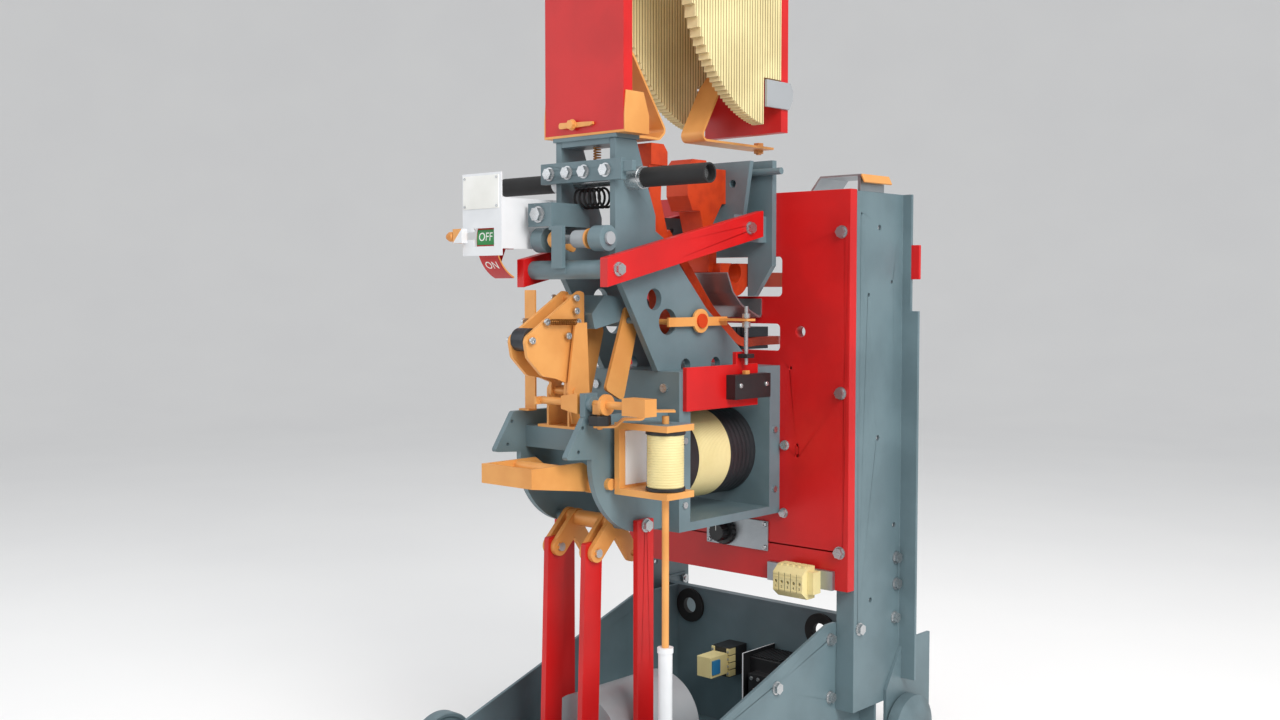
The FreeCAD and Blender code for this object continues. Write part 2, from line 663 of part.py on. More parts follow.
def handle():
    bar_end = GRIP_X[1] - 12.0
    boss_end = GRIP_X[0] - 10.0
    ring_end = boss_end + 6.0
    shaft = rod_x((-bar_end, bar_end), HANDLE_Y, HANDLE_Z, HANDLE_R)
    boss = rod_x((HEAD_OUT_X, boss_end), HANDLE_Y, HANDLE_Z, HANDLE_R + 8.0)
    ring = rod_x((boss_end, ring_end), HANDLE_Y, HANDLE_Z, HANDLE_R + 7.0)
    keep("handle_bar", [joined([shaft, boss, mirrored(boss), ring, mirrored(ring)])])
    grip = rod_x((ring_end, GRIP_X[1]), HANDLE_Y, HANDLE_Z, GRIP_R)
    grip = grip.cut(rod_x((ring_end - 1, bar_end), HANDLE_Y, HANDLE_Z, HANDLE_R))
    grip = grip.cut(rod_x((bar_end, GRIP_X[1] + 1), HANDLE_Y, HANDLE_Z, GRIP_R - 3.0))
    keep("handle_grips", both_sides(grip))


def insulating_bars():
    """The two sloping link bars, the two upright outer posts and the plate behind the small switch."""
    rear_y, rear_z = TIE_REAR
    slope = (rear_z - ROD_Z) / (rear_y - ROD_Y)
    y0 = ROD_Y - TIE_FRONT_REACH
    y1 = rear_y + TIE_REAR_REACH
    z0 = ROD_Z + slope * (y0 - ROD_Y)
    z1 = rear_z + slope * (y1 - rear_y)
    plate = profile_x([(y0, z0 - TIE_HALF_H), (y1, z1 - TIE_HALF_H), (y1, z1 + TIE_HALF_H), (y0, z0 + TIE_HALF_H)],
                      (TIE_IN_X, TIE_OUT_X))
    wide = (TIE_IN_X - 1, TIE_OUT_X + 1)
    plate = less(plate, [rod_x(wide, ROD_Y, ROD_Z, BOLT_R + BORE_GAP),
                         rod_x(wide, rear_y, rear_z, BOLT_R + BORE_GAP)])
    post = block((POST_IN_X, POST_OUT_X), (POST_Y - DRIVE_W / 2, POST_Y + DRIVE_W / 2), (FLOOR_Z, POST_TOP))
    post = post.cut(rod_x((POST_IN_X - 1, POST_OUT_X + 1), POST_Y, POST_BOLT_Z, BOLT_R + BORE_GAP))
    x = (BOX_X, SWITCH_PLATE_X)
    backing = block(x, SWITCH_PLATE_Y, SWITCH_PLATE_Z)
    tab = block(x, (STUD_Y - 14.0, STUD_Y + 14.0), (SWITCH_PLATE_Z[1], GUIDE_Z[1] + 3.0))
    keep("insulating_bars", both_sides(plate) + both_sides(post) + [joined([backing, tab])])


def head_fittings():
    """The rod and the bracket in front of the head, the shaft's bushes and the drive lever's pin."""
    rod = rod_x((-TIE_IN_X, TIE_IN_X), ROD_Y, ROD_Z, ROD_R)
    for side in (-1, 1):
        ends = sorted((side * (TIE_OUT_X - ROD_BOLT_GRIP), side * (TIE_IN_X + 1)))
        rod = rod.cut(rod_x(ends, ROD_Y, ROD_Z, BOLT_R))
    front_y = BRACKET_FACE_Y
    back_y = front_y + 6.0
    face = block((-75.0, -22.0), (front_y, back_y), (950.0, 987.0))
    cheek = block((-28.0, -22.0), (front_y, -345.0), (950.0, 987.0))
    foot = block((-HEAD_IN_X, -22.0), (-351.0, -345.0), (950.0, 987.0))
    shelf = block((-28.0, 2.0), (front_y, -424.5), (944.0, 950.0))
    post = block((-22.0, 2.0), (front_y, -424.5), (883.0, 944.0))
    saddle = block((-22.0, 2.0), (-424.5, ROD_Y), (875.0, 887.0)).cut(rod_x((-30.0, 10.0), ROD_Y, ROD_Z, ROD_R))
    bracket = joined([face, cheek, foot, shelf, post, saddle])
    bushes = []
    bore = rod_x((-100.0, 100.0), ROD_Y, CROSS_Z, CROSS_R + BORE_GAP)
    for bush_x, arm_x in (((HEAD_IN_X, 81.0), (HEAD_IN_X, HEAD_OUT_X)), ((-74.0, -49.0), (-HEAD_OUT_X, -HEAD_IN_X))):
        bush = rod_x(bush_x, ROD_Y, CROSS_Z, BUSH_R)
        arm = block(arm_x, (ROD_Y + 5.0, HEAD_FRONT_Y), (CROSS_Z - 9.0, CROSS_Z + 9.0))
        bushes.append(joined([bush, arm]).cut(bore))
    pin = rod_x((-HEAD_IN_X, HEAD_IN_X), LEVER_Y, LEVER_Z, LEVER_PIN_R)
    keep("head_fittings", [rod, bracket, pin] + bushes)


def indicator_shaft():
    """The indicator's shaft with its two sleeves and its two thin levers."""
    y = ROD_Y
    z = CROSS_Z
    pieces = [rod_x((DRUM_X[0], TIE_IN_X - 1.0), y, z, CROSS_R), rod_x((-40.0, -31.0), y, z, CROSS_R + 7.0),
              rod_x((10.0, 40.0), y, z, CROSS_R + 7.0), rod_x((81.5, 86.0), y, z, CROSS_R + 3.0)]
    for x in ((-31.0, -27.0), (40.0, 44.0)):
        pieces.append(bar((y, z), (y + 30.0, z - 12.0), 7.0, x))
        pieces.append(rod_x(x, y, z, 16.0))
    keep("indicator_shaft", [joined(pieces)])


def indicator():
    """The bent sheet in front with its window, the drum behind it and the knurled catch knob."""
    y0 = HOUSING_Y
    front = block((-179.0, -85.0), (y0, y0 + 2.0), (904.0, 1036.0))
    window = block(WINDOW_X, (y0 - 1, y0 + 3.0), WINDOW_Z)
    slot = block((-172.0, WINDOW_X[0]), (y0 - 1, y0 + 3.0), (930.0, 942.0))
    side = block((-87.0, -85.0), (y0, -366.0), (915.0, 996.0))
    tab = block((-87.0, -HEAD_OUT_X), (-368.0, -366.0), (915.0, 996.0))
    foot = block((-HEAD_OUT_X - 2.0, -HEAD_OUT_X), (-368.0, -340.0), (952.0, 996.0))
    shaft_hole = rod_x((-90.0, -80.0), ROD_Y, CROSS_Z, CROSS_R + 1.0)
    catch = block((-190.0, -168.0), (y0 - 12.0, y0), (925.0, 948.0))
    stud = rod_x((-202.0, -190.0), y0 - 6.0, CATCH_Z, CATCH_R)
    keep("indicator_housing", [joined([less(joined([front, side, tab, foot]), [window, slot, shaft_hole]), catch, stud])])
    knob = rod_x((-208.0, -190.0 - SEAT_GAP), y0 - 6.0, CATCH_Z, CATCH_R + 3.0)
    rim = rod_x((-203.0, -193.0), y0 - 6.0, CATCH_Z, CATCH_R + 5.5)
    bore = rod_x((-202.0 - SEAT_GAP, -189.0), y0 - 6.0, CATCH_Z, CATCH_R + BORE_GAP)
    keep("catch_knob", [joined([knob, rim]).cut(bore)])
    x = DRUM_X
    wide = (x[0] - 1, x[1] + 1)
    ring = rod_x(x, ROD_Y, CROSS_Z, DRUM_R).cut(rod_x(wide, ROD_Y, CROSS_Z, DRUM_R - 3.0))
    reach = 2.0 * DRUM_R
    top = math.radians(DRUM_UP)
    low = math.radians(DRUM_DOWN)
    wedge = profile_x([(ROD_Y, CROSS_Z), (ROD_Y - reach * math.cos(top), CROSS_Z + reach * math.sin(top)),
                       (ROD_Y - reach * 1.4, CROSS_Z - reach * 0.4),
                       (ROD_Y - reach * math.cos(low), CROSS_Z - reach * math.sin(low))], wide)
    web_x = (x[0], x[0] + 2.5)
    web = rod_x(web_x, ROD_Y, CROSS_Z, DRUM_R - 1.0).common(wedge)
    hub = rod_x((x[0], x[0] + 12.0), ROD_Y, CROSS_Z, CROSS_R + 6.0)
    drum = joined([ring.common(wedge), web, hub]).cut(rod_x(wide, ROD_Y, CROSS_Z, CROSS_R))
    keep("indicator_drum", [drum])


def contact_frame():
    """The casting on the panel that carries the fixed contact and the rear ends of the link bars."""
    back = profile_y([(-98.0, 892.0), (-60.0, 838.5), (60.0, 838.5), (98.0, 892.0), (98.0, 1075.0), (-98.0, 1075.0)],
                     (-12.0, 0.0))
    back = back.cut(block((-45.0, 45.0), (-13.0, 1.0), (830.0, 908.0)))
    front = profile_y([(-55.0, 930.0), (55.0, 930.0), (78.5, 1073.0), (-78.5, 1073.0)], (FRAME_FACE_Y, -40.0))
    front = front.cut(rod_y(40.0, (FRAME_FACE_Y - 1, -39.0), 1035.0, 7.0))
    web = block((-10.0, 10.0), (-40.0, -12.0), (930.0, 1073.0))
    side = block((75.0, TIE_IN_X), (-102.0, -12.0), (932.0, 978.0))
    side = side.cut(rod_x((74.0, TIE_IN_X + 1), TIE_REAR[0], TIE_REAR[1], BOLT_R))
    rod = rod_x((-95.0, 122.0), -18.0, 1055.0, 6.0)
    keep("contact_frame", [joined([back, front, web, side, mirrored(side), rod])])


def fixed_contact():
    """The fixed contact: tip, limb, the loop behind it and the stab that goes out through the panel."""
    x = (-HORN_HALF_W, HORN_HALF_W)
    tip = profile_x([(TIP_FACE_Y, 1010.0), (-140.0, 985.0), (-103.0, 985.0), (-103.0, 1073.0), (-140.0, 1073.0),
                     (TIP_FACE_Y, 1060.0)], x)
    limb = profile_x([(-120.0, 985.0), (-97.0, 910.0), (-97.0, 880.0), (-75.0, 880.0), (-75.0, 915.0),
                      (-88.0, 960.0), (-60.0, 1000.0), (FRAME_FACE_Y, 1000.0), (FRAME_FACE_Y, 1060.0),
                      (-103.0, 1060.0), (-103.0, 985.0)], x)
    loop_x = (-STAB_HALF_W, STAB_HALF_W)
    wide = (loop_x[0] - 1, loop_x[1] + 1)
    loop = rod_x(loop_x, LOOP_Y, LOOP_Z, LOOP_R).cut(rod_x(wide, LOOP_Y, LOOP_Z, LOOP_R - 24.0))
    loop = loop.cut(block(wide, (LOOP_Y - 60.0, LOOP_Y + 60.0), (LOOP_Z + 16.0, LOOP_Z + 60.0)))
    stab = block(loop_x, (LOOP_Y + 24.0, STAB_END_Y), STAB_Z)
    holes = [rod_z(sx, sy, (STAB_Z[0] - 1, STAB_Z[1] + 1), STAB_HOLE_R)
             for sx in (-STAB_HOLE_X, STAB_HOLE_X) for sy in STAB_HOLE_Y]
    keep("fixed_contact", [less(joined([tip, limb, loop, stab]), holes)])


def arc_shields():
    """The bent sheet in front of the panel, below the fixed contact."""
    path = [(-100.0, 878.5), (-84.0, 845.0, 15.0), (-60.0, 822.0, 20.0), (0.0, 797.0, 4.0), (0.0, 834.0)]
    keep("arc_shields", [profile_x(ribbon(path, 3.0), (-68.0, 68.0))])


def jaw_fingers():
    """Sprung fingers above and below the lower bar, in the panel's lower cut-out."""
    made = []
    pitch = 2.0 * JAW_HALF_W / JAW_COUNT
    for i in range(JAW_COUNT):
        x0 = -JAW_HALF_W + i * pitch
        x = (x0 + 1.0, x0 + pitch - 1.0)
        made.append(block(x, (14.0, 84.0), (BAR_Z[1], BAR_Z[1] + 18.0)))
        made.append(block(x, (4.0, 84.0), (LOWER_CUT_Z[0], BAR_Z[0])))
    keep("jaw_fingers", made)


def arm_back_y(z):
    """The moving arm's rear edge at one height."""
    (y0, z0), (y1, z1) = ARM_BACK
    return y0 + (z - z0) * (y1 - y0) / (z1 - z0)


def moving_contact():
    """The swinging arm with its tip and shaft, and the laminated connector down to the lower bar."""
    x = (-HORN_HALF_W, HORN_HALF_W)
    tip = profile_x([(-247.0, 1057.0), (-206.0, 1057.0), (-206.0, 1080.0), (-216.0, 1092.0), (-247.0, 1092.0)], x)
    arm = profile_x([(-247.0, 1057.0), (-215.0, 1057.0), ARM_BACK[1], ARM_BACK[0], (-158.0, 850.0),
                     (-158.0, PIVOT_Z), (-199.0, PIVOT_Z), (-205.0, 850.0), (-236.0, 930.0), (-247.0, 1010.0)],
                    (-BAR_HALF_W, BAR_HALF_W))
    hub = rod_x((-34.0, 34.0), PIVOT_Y, PIVOT_Z, 2.0 * PIVOT_R)
    shaft = rod_x((-HEAD_OUT_X - 4.0, HEAD_OUT_X + 14.0), PIVOT_Y, PIVOT_Z, PIVOT_R)
    keep("moving_contact", [joined([tip, arm, hub, shaft])])
    low = 938.0
    high = 953.0
    bottom, top = BAR_Z
    strip = profile_x([(arm_back_y(low), low), (-142.0, 866.0), (-87.0, 804.0), (-38.0, 772.0), (2.0, bottom, 20.0),
                       (BAR_END_Y, bottom), (BAR_END_Y, top), (PAD_FRONT_Y, top),
                       (PAD_FRONT_Y, top - 0.8), (PAD_FRONT_Y - 1.0, top - 0.8), (PAD_FRONT_Y - 1.0, top), (2.0, top, 10.0), (-38.0, 792.0), (-78.0, 822.0),
                       (-130.0, 882.0), (arm_back_y(high), high)], (-BAR_HALF_W, BAR_HALF_W))
    keep("flexible_connector", [strip])


def switch_gear():
    """The lever on the moving contact's shaft, the stud it works and the small switch below."""
    x = (HEAD_OUT_X + 6.0, HEAD_OUT_X + 10.0)
    upright = block(x, (-262.0, STUD_Y + 12.0), (PIVOT_Z - 8.6, PIVOT_Z + 6.4))
    ring = rod_x(x, PIVOT_Y, PIVOT_Z, PIVOT_R + 8.0)
    pin = rod_x((HEAD_IN_X - 8.0, x[0]), -253.0, 797.0, 4.5)
    foot = block((x[0], STUD_X + 10.0), (STUD_Y - 12.0, STUD_Y + 12.0), FOOT_PLATE_Z)
    slot = block((STUD_X - STUD_R - 0.5, STUD_X + STUD_R + 0.5), (STUD_Y - 8.0, STUD_Y + 8.0),
                 (FOOT_PLATE_Z[0] - 1, FOOT_PLATE_Z[1] + 1))
    lever = joined([upright, ring, pin, foot])
    keep("aux_lever", [less(lever, [slot, rod_x((HEAD_OUT_X, x[1] + 1), PIVOT_Y, PIVOT_Z, PIVOT_R)])])
    stud = rod_z(STUD_X, STUD_Y, STUD_Z, STUD_R)
    below = rod_z(STUD_X, STUD_Y, (FOOT_PLATE_Z[0] - COLLAR_GAP - 9.0, FOOT_PLATE_Z[0] - COLLAR_GAP), 2.0 * STUD_R)
    above = rod_z(STUD_X, STUD_Y, (FOOT_PLATE_Z[1] + COLLAR_GAP, FOOT_PLATE_Z[1] + COLLAR_GAP + 7.0), 2.0 * STUD_R)
    keep("switch_stud", [joined([stud, below, above])])
    case = block((SWITCH_PLATE_X, SWITCH_X), SWITCH_Y, SWITCH_Z)
    pocket = block((STUD_X - 4.0, STUD_X + 4.0), (STUD_Y - 6.0, STUD_Y + 6.0), (SWITCH_Z[1] - 8.0, SWITCH_Z[1] + 1))
    guide = block((SWITCH_PLATE_X, SWITCH_X), (STUD_Y - 10.0, STUD_Y + 10.0), GUIDE_Z)
    guide = guide.cut(rod_z(STUD_X, STUD_Y, (GUIDE_Z[0] - 1, GUIDE_Z[1] + 1), STUD_R + BORE_GAP))
    keep("microswitch", [case.cut(pocket), guide])
    keep("switch_button", [block((STUD_X - 3.7, STUD_X + 3.7), (STUD_Y - 5.7, STUD_Y + 5.7),
                                 (SWITCH_Z[1] - 5.0, BUTTON_TOP))])


def drive_lever():
    """Two sloping arms on a tube, with a heavy cross block in front of the pivot."""
    arm = profile_x([(-322.0, 831.0, 6.0), (-300.0, 782.0, 12.0), (-332.0, 670.0, 8.0), (-373.0, 691.0, 8.0)],
                    (34.0, 40.0))
    block_x = (-34.0, 34.0)
    cross = profile_x([(-398.0, 812.0, 4.0), (-369.0, 841.0, 6.0), (-326.0, 837.0), (-328.0, LEVER_Z), (-392.0, 787.0, 4.0)],
                      block_x)
    tube = rod_x(block_x, LEVER_Y, LEVER_Z, 10.0)
    lever = joined([arm, mirrored(arm), cross, tube])
    keep("drive_lever", [lever.cut(rod_x((-60.0, 60.0), LEVER_Y, LEVER_Z, LEVER_PIN_R + BORE_GAP))])


def chute():
    w = CHUTE_HALF_W
    front = block((-w, w), CHUTE_FRONT_Y, (CHUTE_BOTTOM + HORN_T, CHUTE_TOP))
    front = front.cut(rod_y(LOCK_X, CHUTE_FRONT_Y, LOCK_Z, LOCK_R + BORE_GAP))
    rear = block((-w, w), CHUTE_REAR_Y, (CHUTE_REAR_BOTTOM, CHUTE_TOP))
    rail = block((w, w + 5.0), (CHUTE_FRONT_Y[0], CHUTE_REAR_Y[1]), (CHUTE_TOP - 70.0, CHUTE_TOP))
    keep("chute_walls", [front, rear] + both_sides(rail))
    plates = []
    y0 = CHUTE_FRONT_Y[1]
    pitch = (CHUTE_REAR_Y[0] - y0) / PLATE_COUNT
    for i in range(PLATE_COUNT):
        a = y0 + i * pitch + PLATE_GAP
        b = y0 + (i + 1) * pitch
        bottom = leg_bottom((a + b) / 2.0)
        plate = block((LEG_IN_X, w), (a, b), (bottom, CHUTE_TOP - 4.0))
        plates += both_sides(plate)
    keep("splitter_plates", plates)


def leg_bottom(y):
    """Height of the splitter legs' lower edge: a quarter of an ellipse, then a notch at the rear."""
    if y > NOTCH_Y:
        return NOTCH_Z
    along = (y - ARCH_START_Y) / ARCH_LENGTH
    if along < -1.0:
        return ARCH_TOP
    return ARCH_TOP - ARCH_DEPTH * math.sqrt(1.0 - along * along)


def horns():
    x = (-HORN_HALF_W, HORN_HALF_W)
    t = HORN_T
    seat_z = CHUTE_BOTTOM + 2.0 * t
    front_path = [(CHUTE_FRONT_Y[1], 1340.0), (CHUTE_FRONT_Y[1], 1300.0, 10.0), (-291.0, 1227.0, 12.0),
                  (-213.0, 1114.0, 7.0), (-227.0, seat_z, 6.0), (-340.0, seat_z)]
    front = profile_x(ribbon(front_path, t), x)
    wall_y = CHUTE_REAR_Y[0] - t
    rear_path = [(wall_y, 1340.0), (wall_y, 1300.0, 10.0), (-65.0, 1203.0, 20.0), (-123.0, 1106.0, 8.0), (91.0, 1106.0)]
    rear = profile_x(ribbon(rear_path, t), x)
    rear = joined([rear, bolt((0, HORN_BOLT_Y, 1106.0 + t), (0, 0, 1), BOLT_R, t)])
    keep("arc_horns", [front, rear])
    base_y = (CHUTE_FRONT_Y[0], -325.0)
    channel = block((-CHUTE_HALF_W, CHUTE_HALF_W), base_y, (CHUTE_BOTTOM, CHUTE_BOTTOM + t))
    cheek = profile_x([(base_y[0], CHUTE_BOTTOM), (base_y[1], CHUTE_BOTTOM), (base_y[1], 1122.0),
                       (-338.0, 1158.0), (base_y[0] + 3.0, 1158.0), (base_y[0], 1122.0)],
                      (CHUTE_HALF_W, CHUTE_HALF_W + 3.0))
    lug = profile_x([(-20.0, 1215.0), (50.0, 1215.0), (57.0, 1203.0), (57.0, 1186.0), (46.0, 1168.0), (-20.0, 1168.0)],
                    (CHUTE_HALF_W, CHUTE_HALF_W + 5.0))
    keep("chute_base", [joined([channel, cheek, mirrored(cheek)])] + both_sides(lug))
    y = CHUTE_FRONT_Y[0]
    lever = profile_y([(-51.0, 1107.0, 4.0), (18.0, 1108.0), (24.0, 1110.0), (24.0, 1114.0), (-51.0, 1117.0, 4.0)],
                      (y - 5.0, y - SEAT_GAP))
    stem = rod_y(LOCK_X, (y - 5.0, CHUTE_FRONT_Y[1] - 4.0), LOCK_Z, LOCK_R)
    head = bolt((LOCK_X, y - 5.0, LOCK_Z), (0, -1, 0), LOCK_R, 0, nut=False)
    keep("chute_lock", [joined([lever, stem, head])])


def latch():
    """The swinging latch with its roller, and the forked base it turns in."""
    y = LATCH_Y
    z = LATCH_Z
    inner = CHEEK_OUT_X - CHEEK_T
    right = profile_x([(-412.0, 848.0, 6.0), (-401.0, 845.0, 5.0), (-401.0, 720.0), (y + 12.0, z + 10.0),
                       (y + 12.0, z - 12.0, 8.0), (y - 12.0, z - 12.0, 8.0), (-440.0, 704.0), (-463.0, 712.0),
                       (-492.0, 717.0, 12.0), (-523.0, 746.0, 12.0), (-529.0, 776.0, 14.0)],
                      (inner, CHEEK_OUT_X))
    wide = (inner - 1, CHEEK_OUT_X + 1)
    right = less(right, [rod_x(wide, y, z, LATCH_PIN_R + BORE_GAP)])
    pieces = [right, mirrored(right), rod_x((-CHEEK_OUT_X - 4.0, CHEEK_OUT_X + 4.0), ROLLER_Y, ROLLER_Z, 5.0)]
    for py, pz in ((-408.0, 836.0), (-410.0, 814.0), (-450.0, 740.0)):
        pieces.append(rod_x((-inner, inner), py, pz, 6.0))
    keep("latch_cheeks", [joined(pieces)])
    roller = rod_x((-inner + SEAT_GAP, inner - SEAT_GAP), ROLLER_Y, ROLLER_Z, ROLLER_R)
    keep("latch_roller", [roller.cut(rod_x((-inner, inner), ROLLER_Y, ROLLER_Z, 5.0 + BORE_GAP))])
    floor = block((-46.0, 46.0), (CROSS_PLATE_Y[0], -388.0), (CROSS_PLATE_TOP, CROSS_PLATE_TOP + 4.0))
    ear_in = CHEEK_OUT_X + 1.0
    ear_out = ear_in + 4.0
    ear = profile_x([(CROSS_PLATE_Y[0], CROSS_PLATE_TOP + 4.0), (-388.0, CROSS_PLATE_TOP + 4.0), (-400.0, z + 6.0, 8.0),
                     (y - 10.0, z + 14.0, 10.0)], (ear_in, ear_out))
    post = profile_x([(-446.0, z), (-430.0, 798.0), (-404.0, 798.0), (-396.0, z - 50.0), (-436.0, z - 50.0)],
                     (ear_out, ear_out + 4.0))
    axle = rod_x((-ear_out - 4.0, ear_out + 6.0), y, z, LATCH_PIN_R)
    keep("latch_base", [joined([floor, ear, mirrored(ear), post, axle])])


def front_frame():
    """The two side plates in front of the magnet, the cross plate between them and the fixed pin."""
    x = (SIDE_IN_X, SIDE_OUT_X)
    wide = (x[0] - 1, x[1] + 1)
    upper = profile_x([(-507.0, 594.0, 4.0), (-450.0, 590.0), (DISC_Y, 590.0), (BOX_FRONT_Y, 590.0),
                       (BOX_FRONT_Y, SIDE_TOP), (-466.0, SIDE_TOP, 6.0)], x)
    disc = rod_x(x, DISC_Y, DISC_Z, DISC_R)
    disc = disc.common(block(wide, (DISC_Y - DISC_R - 1, DISC_Y), (DISC_Z - DISC_R - 1, 600.0)))
    lower = block(x, (DISC_Y, BOX_FRONT_Y), (DISC_Z - DISC_R, 600.0))
    cone = Part.makeCone(22.0, 16.0, 12.0, vec(SIDE_IN_X, SHAFT_Y, SHAFT_Z), vec(-1, 0, 0))
    side = joined([upper, disc, lower, cone])
    side = less(side, [rod_x((x[0] - 13.0, x[1] + 1), SHAFT_Y, SHAFT_Z, SHAFT_R + BORE_GAP),
                       rod_x(wide, -479.0, 604.0, SCREW_R), rod_x(wide, -470.0, 640.0, SCREW_R)])
    plate = block((-SIDE_IN_X, SIDE_IN_X), CROSS_PLATE_Y, (CROSS_PLATE_BOTTOM, CROSS_PLATE_TOP))
    shelf = block((-SIDE_IN_X, SIDE_IN_X), (CROSS_PLATE_Y[0], -385.0), (CROSS_PLATE_TOP - 8.0, CROSS_PLATE_TOP))
    pin = rod_x((-x[0], x[0]), CRANK_Y, CRANK_Z, CRANK_R)
    keep("front_frame", [joined([side, mirrored(side), plate, shelf, pin])])


def bail():
    """The closing bail: a bent strap on a cross shaft, with two short arms and a roller."""
    reach = SIDE_OUT_X + 8.0
    shaft = rod_x((-reach, reach), SHAFT_Y, SHAFT_Z, SHAFT_R)
    z = (SHAFT_Z + 3.0, SHAFT_Z + 33.0)
    front = block((-56.0, 56.0), (BAIL_FRONT_Y, BAIL_FRONT_Y + 5.0), z)
    side = profile_x([(BAIL_FRONT_Y, z[0]), (-414.0, SHAFT_Z - 15.0), (-414.0, SHAFT_Z + 15.0), (-440.0, z[1]),
                      (BAIL_FRONT_Y, z[1])], (50.0, 56.0))
    hub = rod_x((42.0, 61.5), SHAFT_Y, SHAFT_Z, 17.0)
    roller = rod_x((-50.0, 50.0), -480.0, 572.0, 9.0)
    half = joined([side, hub])
    keep("bail", [joined([front, half, mirrored(half), roller, shaft])])


def crank():
    """The bell crank on the fixed pin and the two long rods that hang from it."""
    a = (CRANK_Y, CRANK_Z)
    b = (LINK_Y, LINK_Z)
    outer = (DRIVE_OUT_X + SEAT_GAP, DRIVE_OUT_X + SEAT_GAP + LINK_PLATE_T)
    inner = (DRIVE_IN_X - SEAT_GAP - LINK_PLATE_T, DRIVE_IN_X - SEAT_GAP)
    tail = bar(a, CRANK_TAIL, 14.0, outer)
    tail = tail.cut(rod_x((outer[0] - 1, outer[1] + 1), CRANK_TAIL[0], CRANK_TAIL[1], 5.0))
    tube = rod_x((0, outer[1]), a[0], a[1], 13.0)
    pin = rod_x((inner[0] - 4.0, outer[1] + 4.0), b[0], b[1], LINK_R)
    half = joined([bar(a, b, 15.0, outer), bar(a, b, 15.0, inner), tail, tube, pin])
    whole = joined([half, mirrored(half)])
    keep("bell_crank", [whole.cut(rod_x((-80.0, 80.0), a[0], a[1], CRANK_R + BORE_GAP))])
    drive = profile_x([(b[0] - DRIVE_W / 2, b[1] + 16.0, 4.0), (b[0] + DRIVE_W / 2, b[1] + 16.0, 4.0),
                       (FOOT_Y + DRIVE_W / 2, FOOT_Z - 18.0, 4.0), (FOOT_Y - DRIVE_W / 2, FOOT_Z - 18.0, 4.0)],
                      (DRIVE_IN_X, DRIVE_OUT_X))
    wide = (DRIVE_IN_X - 1, DRIVE_OUT_X + 1)
    drive = less(drive, [rod_x(wide, b[0], b[1], LINK_R + BORE_GAP), rod_x(wide, FOOT_Y, FOOT_Z, LINK_R + PIN_GAP)])
    keep("drive_rods", both_sides(drive))


def base_mechanism():
    """The lower crank between its two bearings, and the solenoid whose plunger turns it."""
    y = BASE_CRANK_Y
    z = BASE_CRANK_Z
    pieces = [rod_x((-70.0, 70.0), y, z, BASE_SHAFT_R)]
    for x in ((DRIVE_OUT_X + SEAT_GAP, DRIVE_OUT_X + 8.0), (DRIVE_IN_X - 8.0, DRIVE_IN_X - SEAT_GAP)):
        arm = bar((y, z), (FOOT_Y, FOOT_Z), 13.0, x)
        pieces += both_sides(arm)
    pin = rod_x((DRIVE_IN_X - 8.0, DRIVE_OUT_X + 8.0), FOOT_Y, FOOT_Z, LINK_R)
    pieces += both_sides(pin)
    pieces.append(bar((y, z), (y, SOLENOID_Z), 12.0, (-5.0, 5.0)))
    keep("base_crank", [joined(pieces)])
    ear = profile_x([(y - 25.0, FLOOR_Z), (y + 25.0, FLOOR_Z), (y + 14.0, z + 14.0, 10.0), (y - 14.0, z + 14.0, 10.0)],
                    (58.0, 66.0))
    ear = ear.cut(rod_x((50.0, 70.0), y, z, BASE_SHAFT_R + BORE_GAP))
    y0, y1 = SOLENOID_Y
    drum = rod_y(0, (y0, y1), SOLENOID_Z, SOLENOID_R)
    drum = drum.cut(rod_y(0, (y0 - 1, y0 + 90.0), SOLENOID_Z, PLUNGER_NOSE_R + BORE_GAP))
    feet = [block((-70.0, 70.0), (fy, fy + 20.0), (FLOOR_Z, SOLENOID_Z - 60.0)) for fy in (y0 + 30.0, y1 - 50.0)]
    keep("closing_solenoid", [joined([drum] + feet)] + both_sides(ear))
    nose = rod_y(0, (y0 - 42.0, y0 + 60.0), SOLENOID_Z, PLUNGER_NOSE_R)
    fork = block((-16.0, 16.0), (y + 12.0 + SEAT_GAP, y0 - 42.0), (SOLENOID_Z - 16.0, SOLENOID_Z + 16.0))
    keep("solenoid_plunger", [joined([nose, fork])])


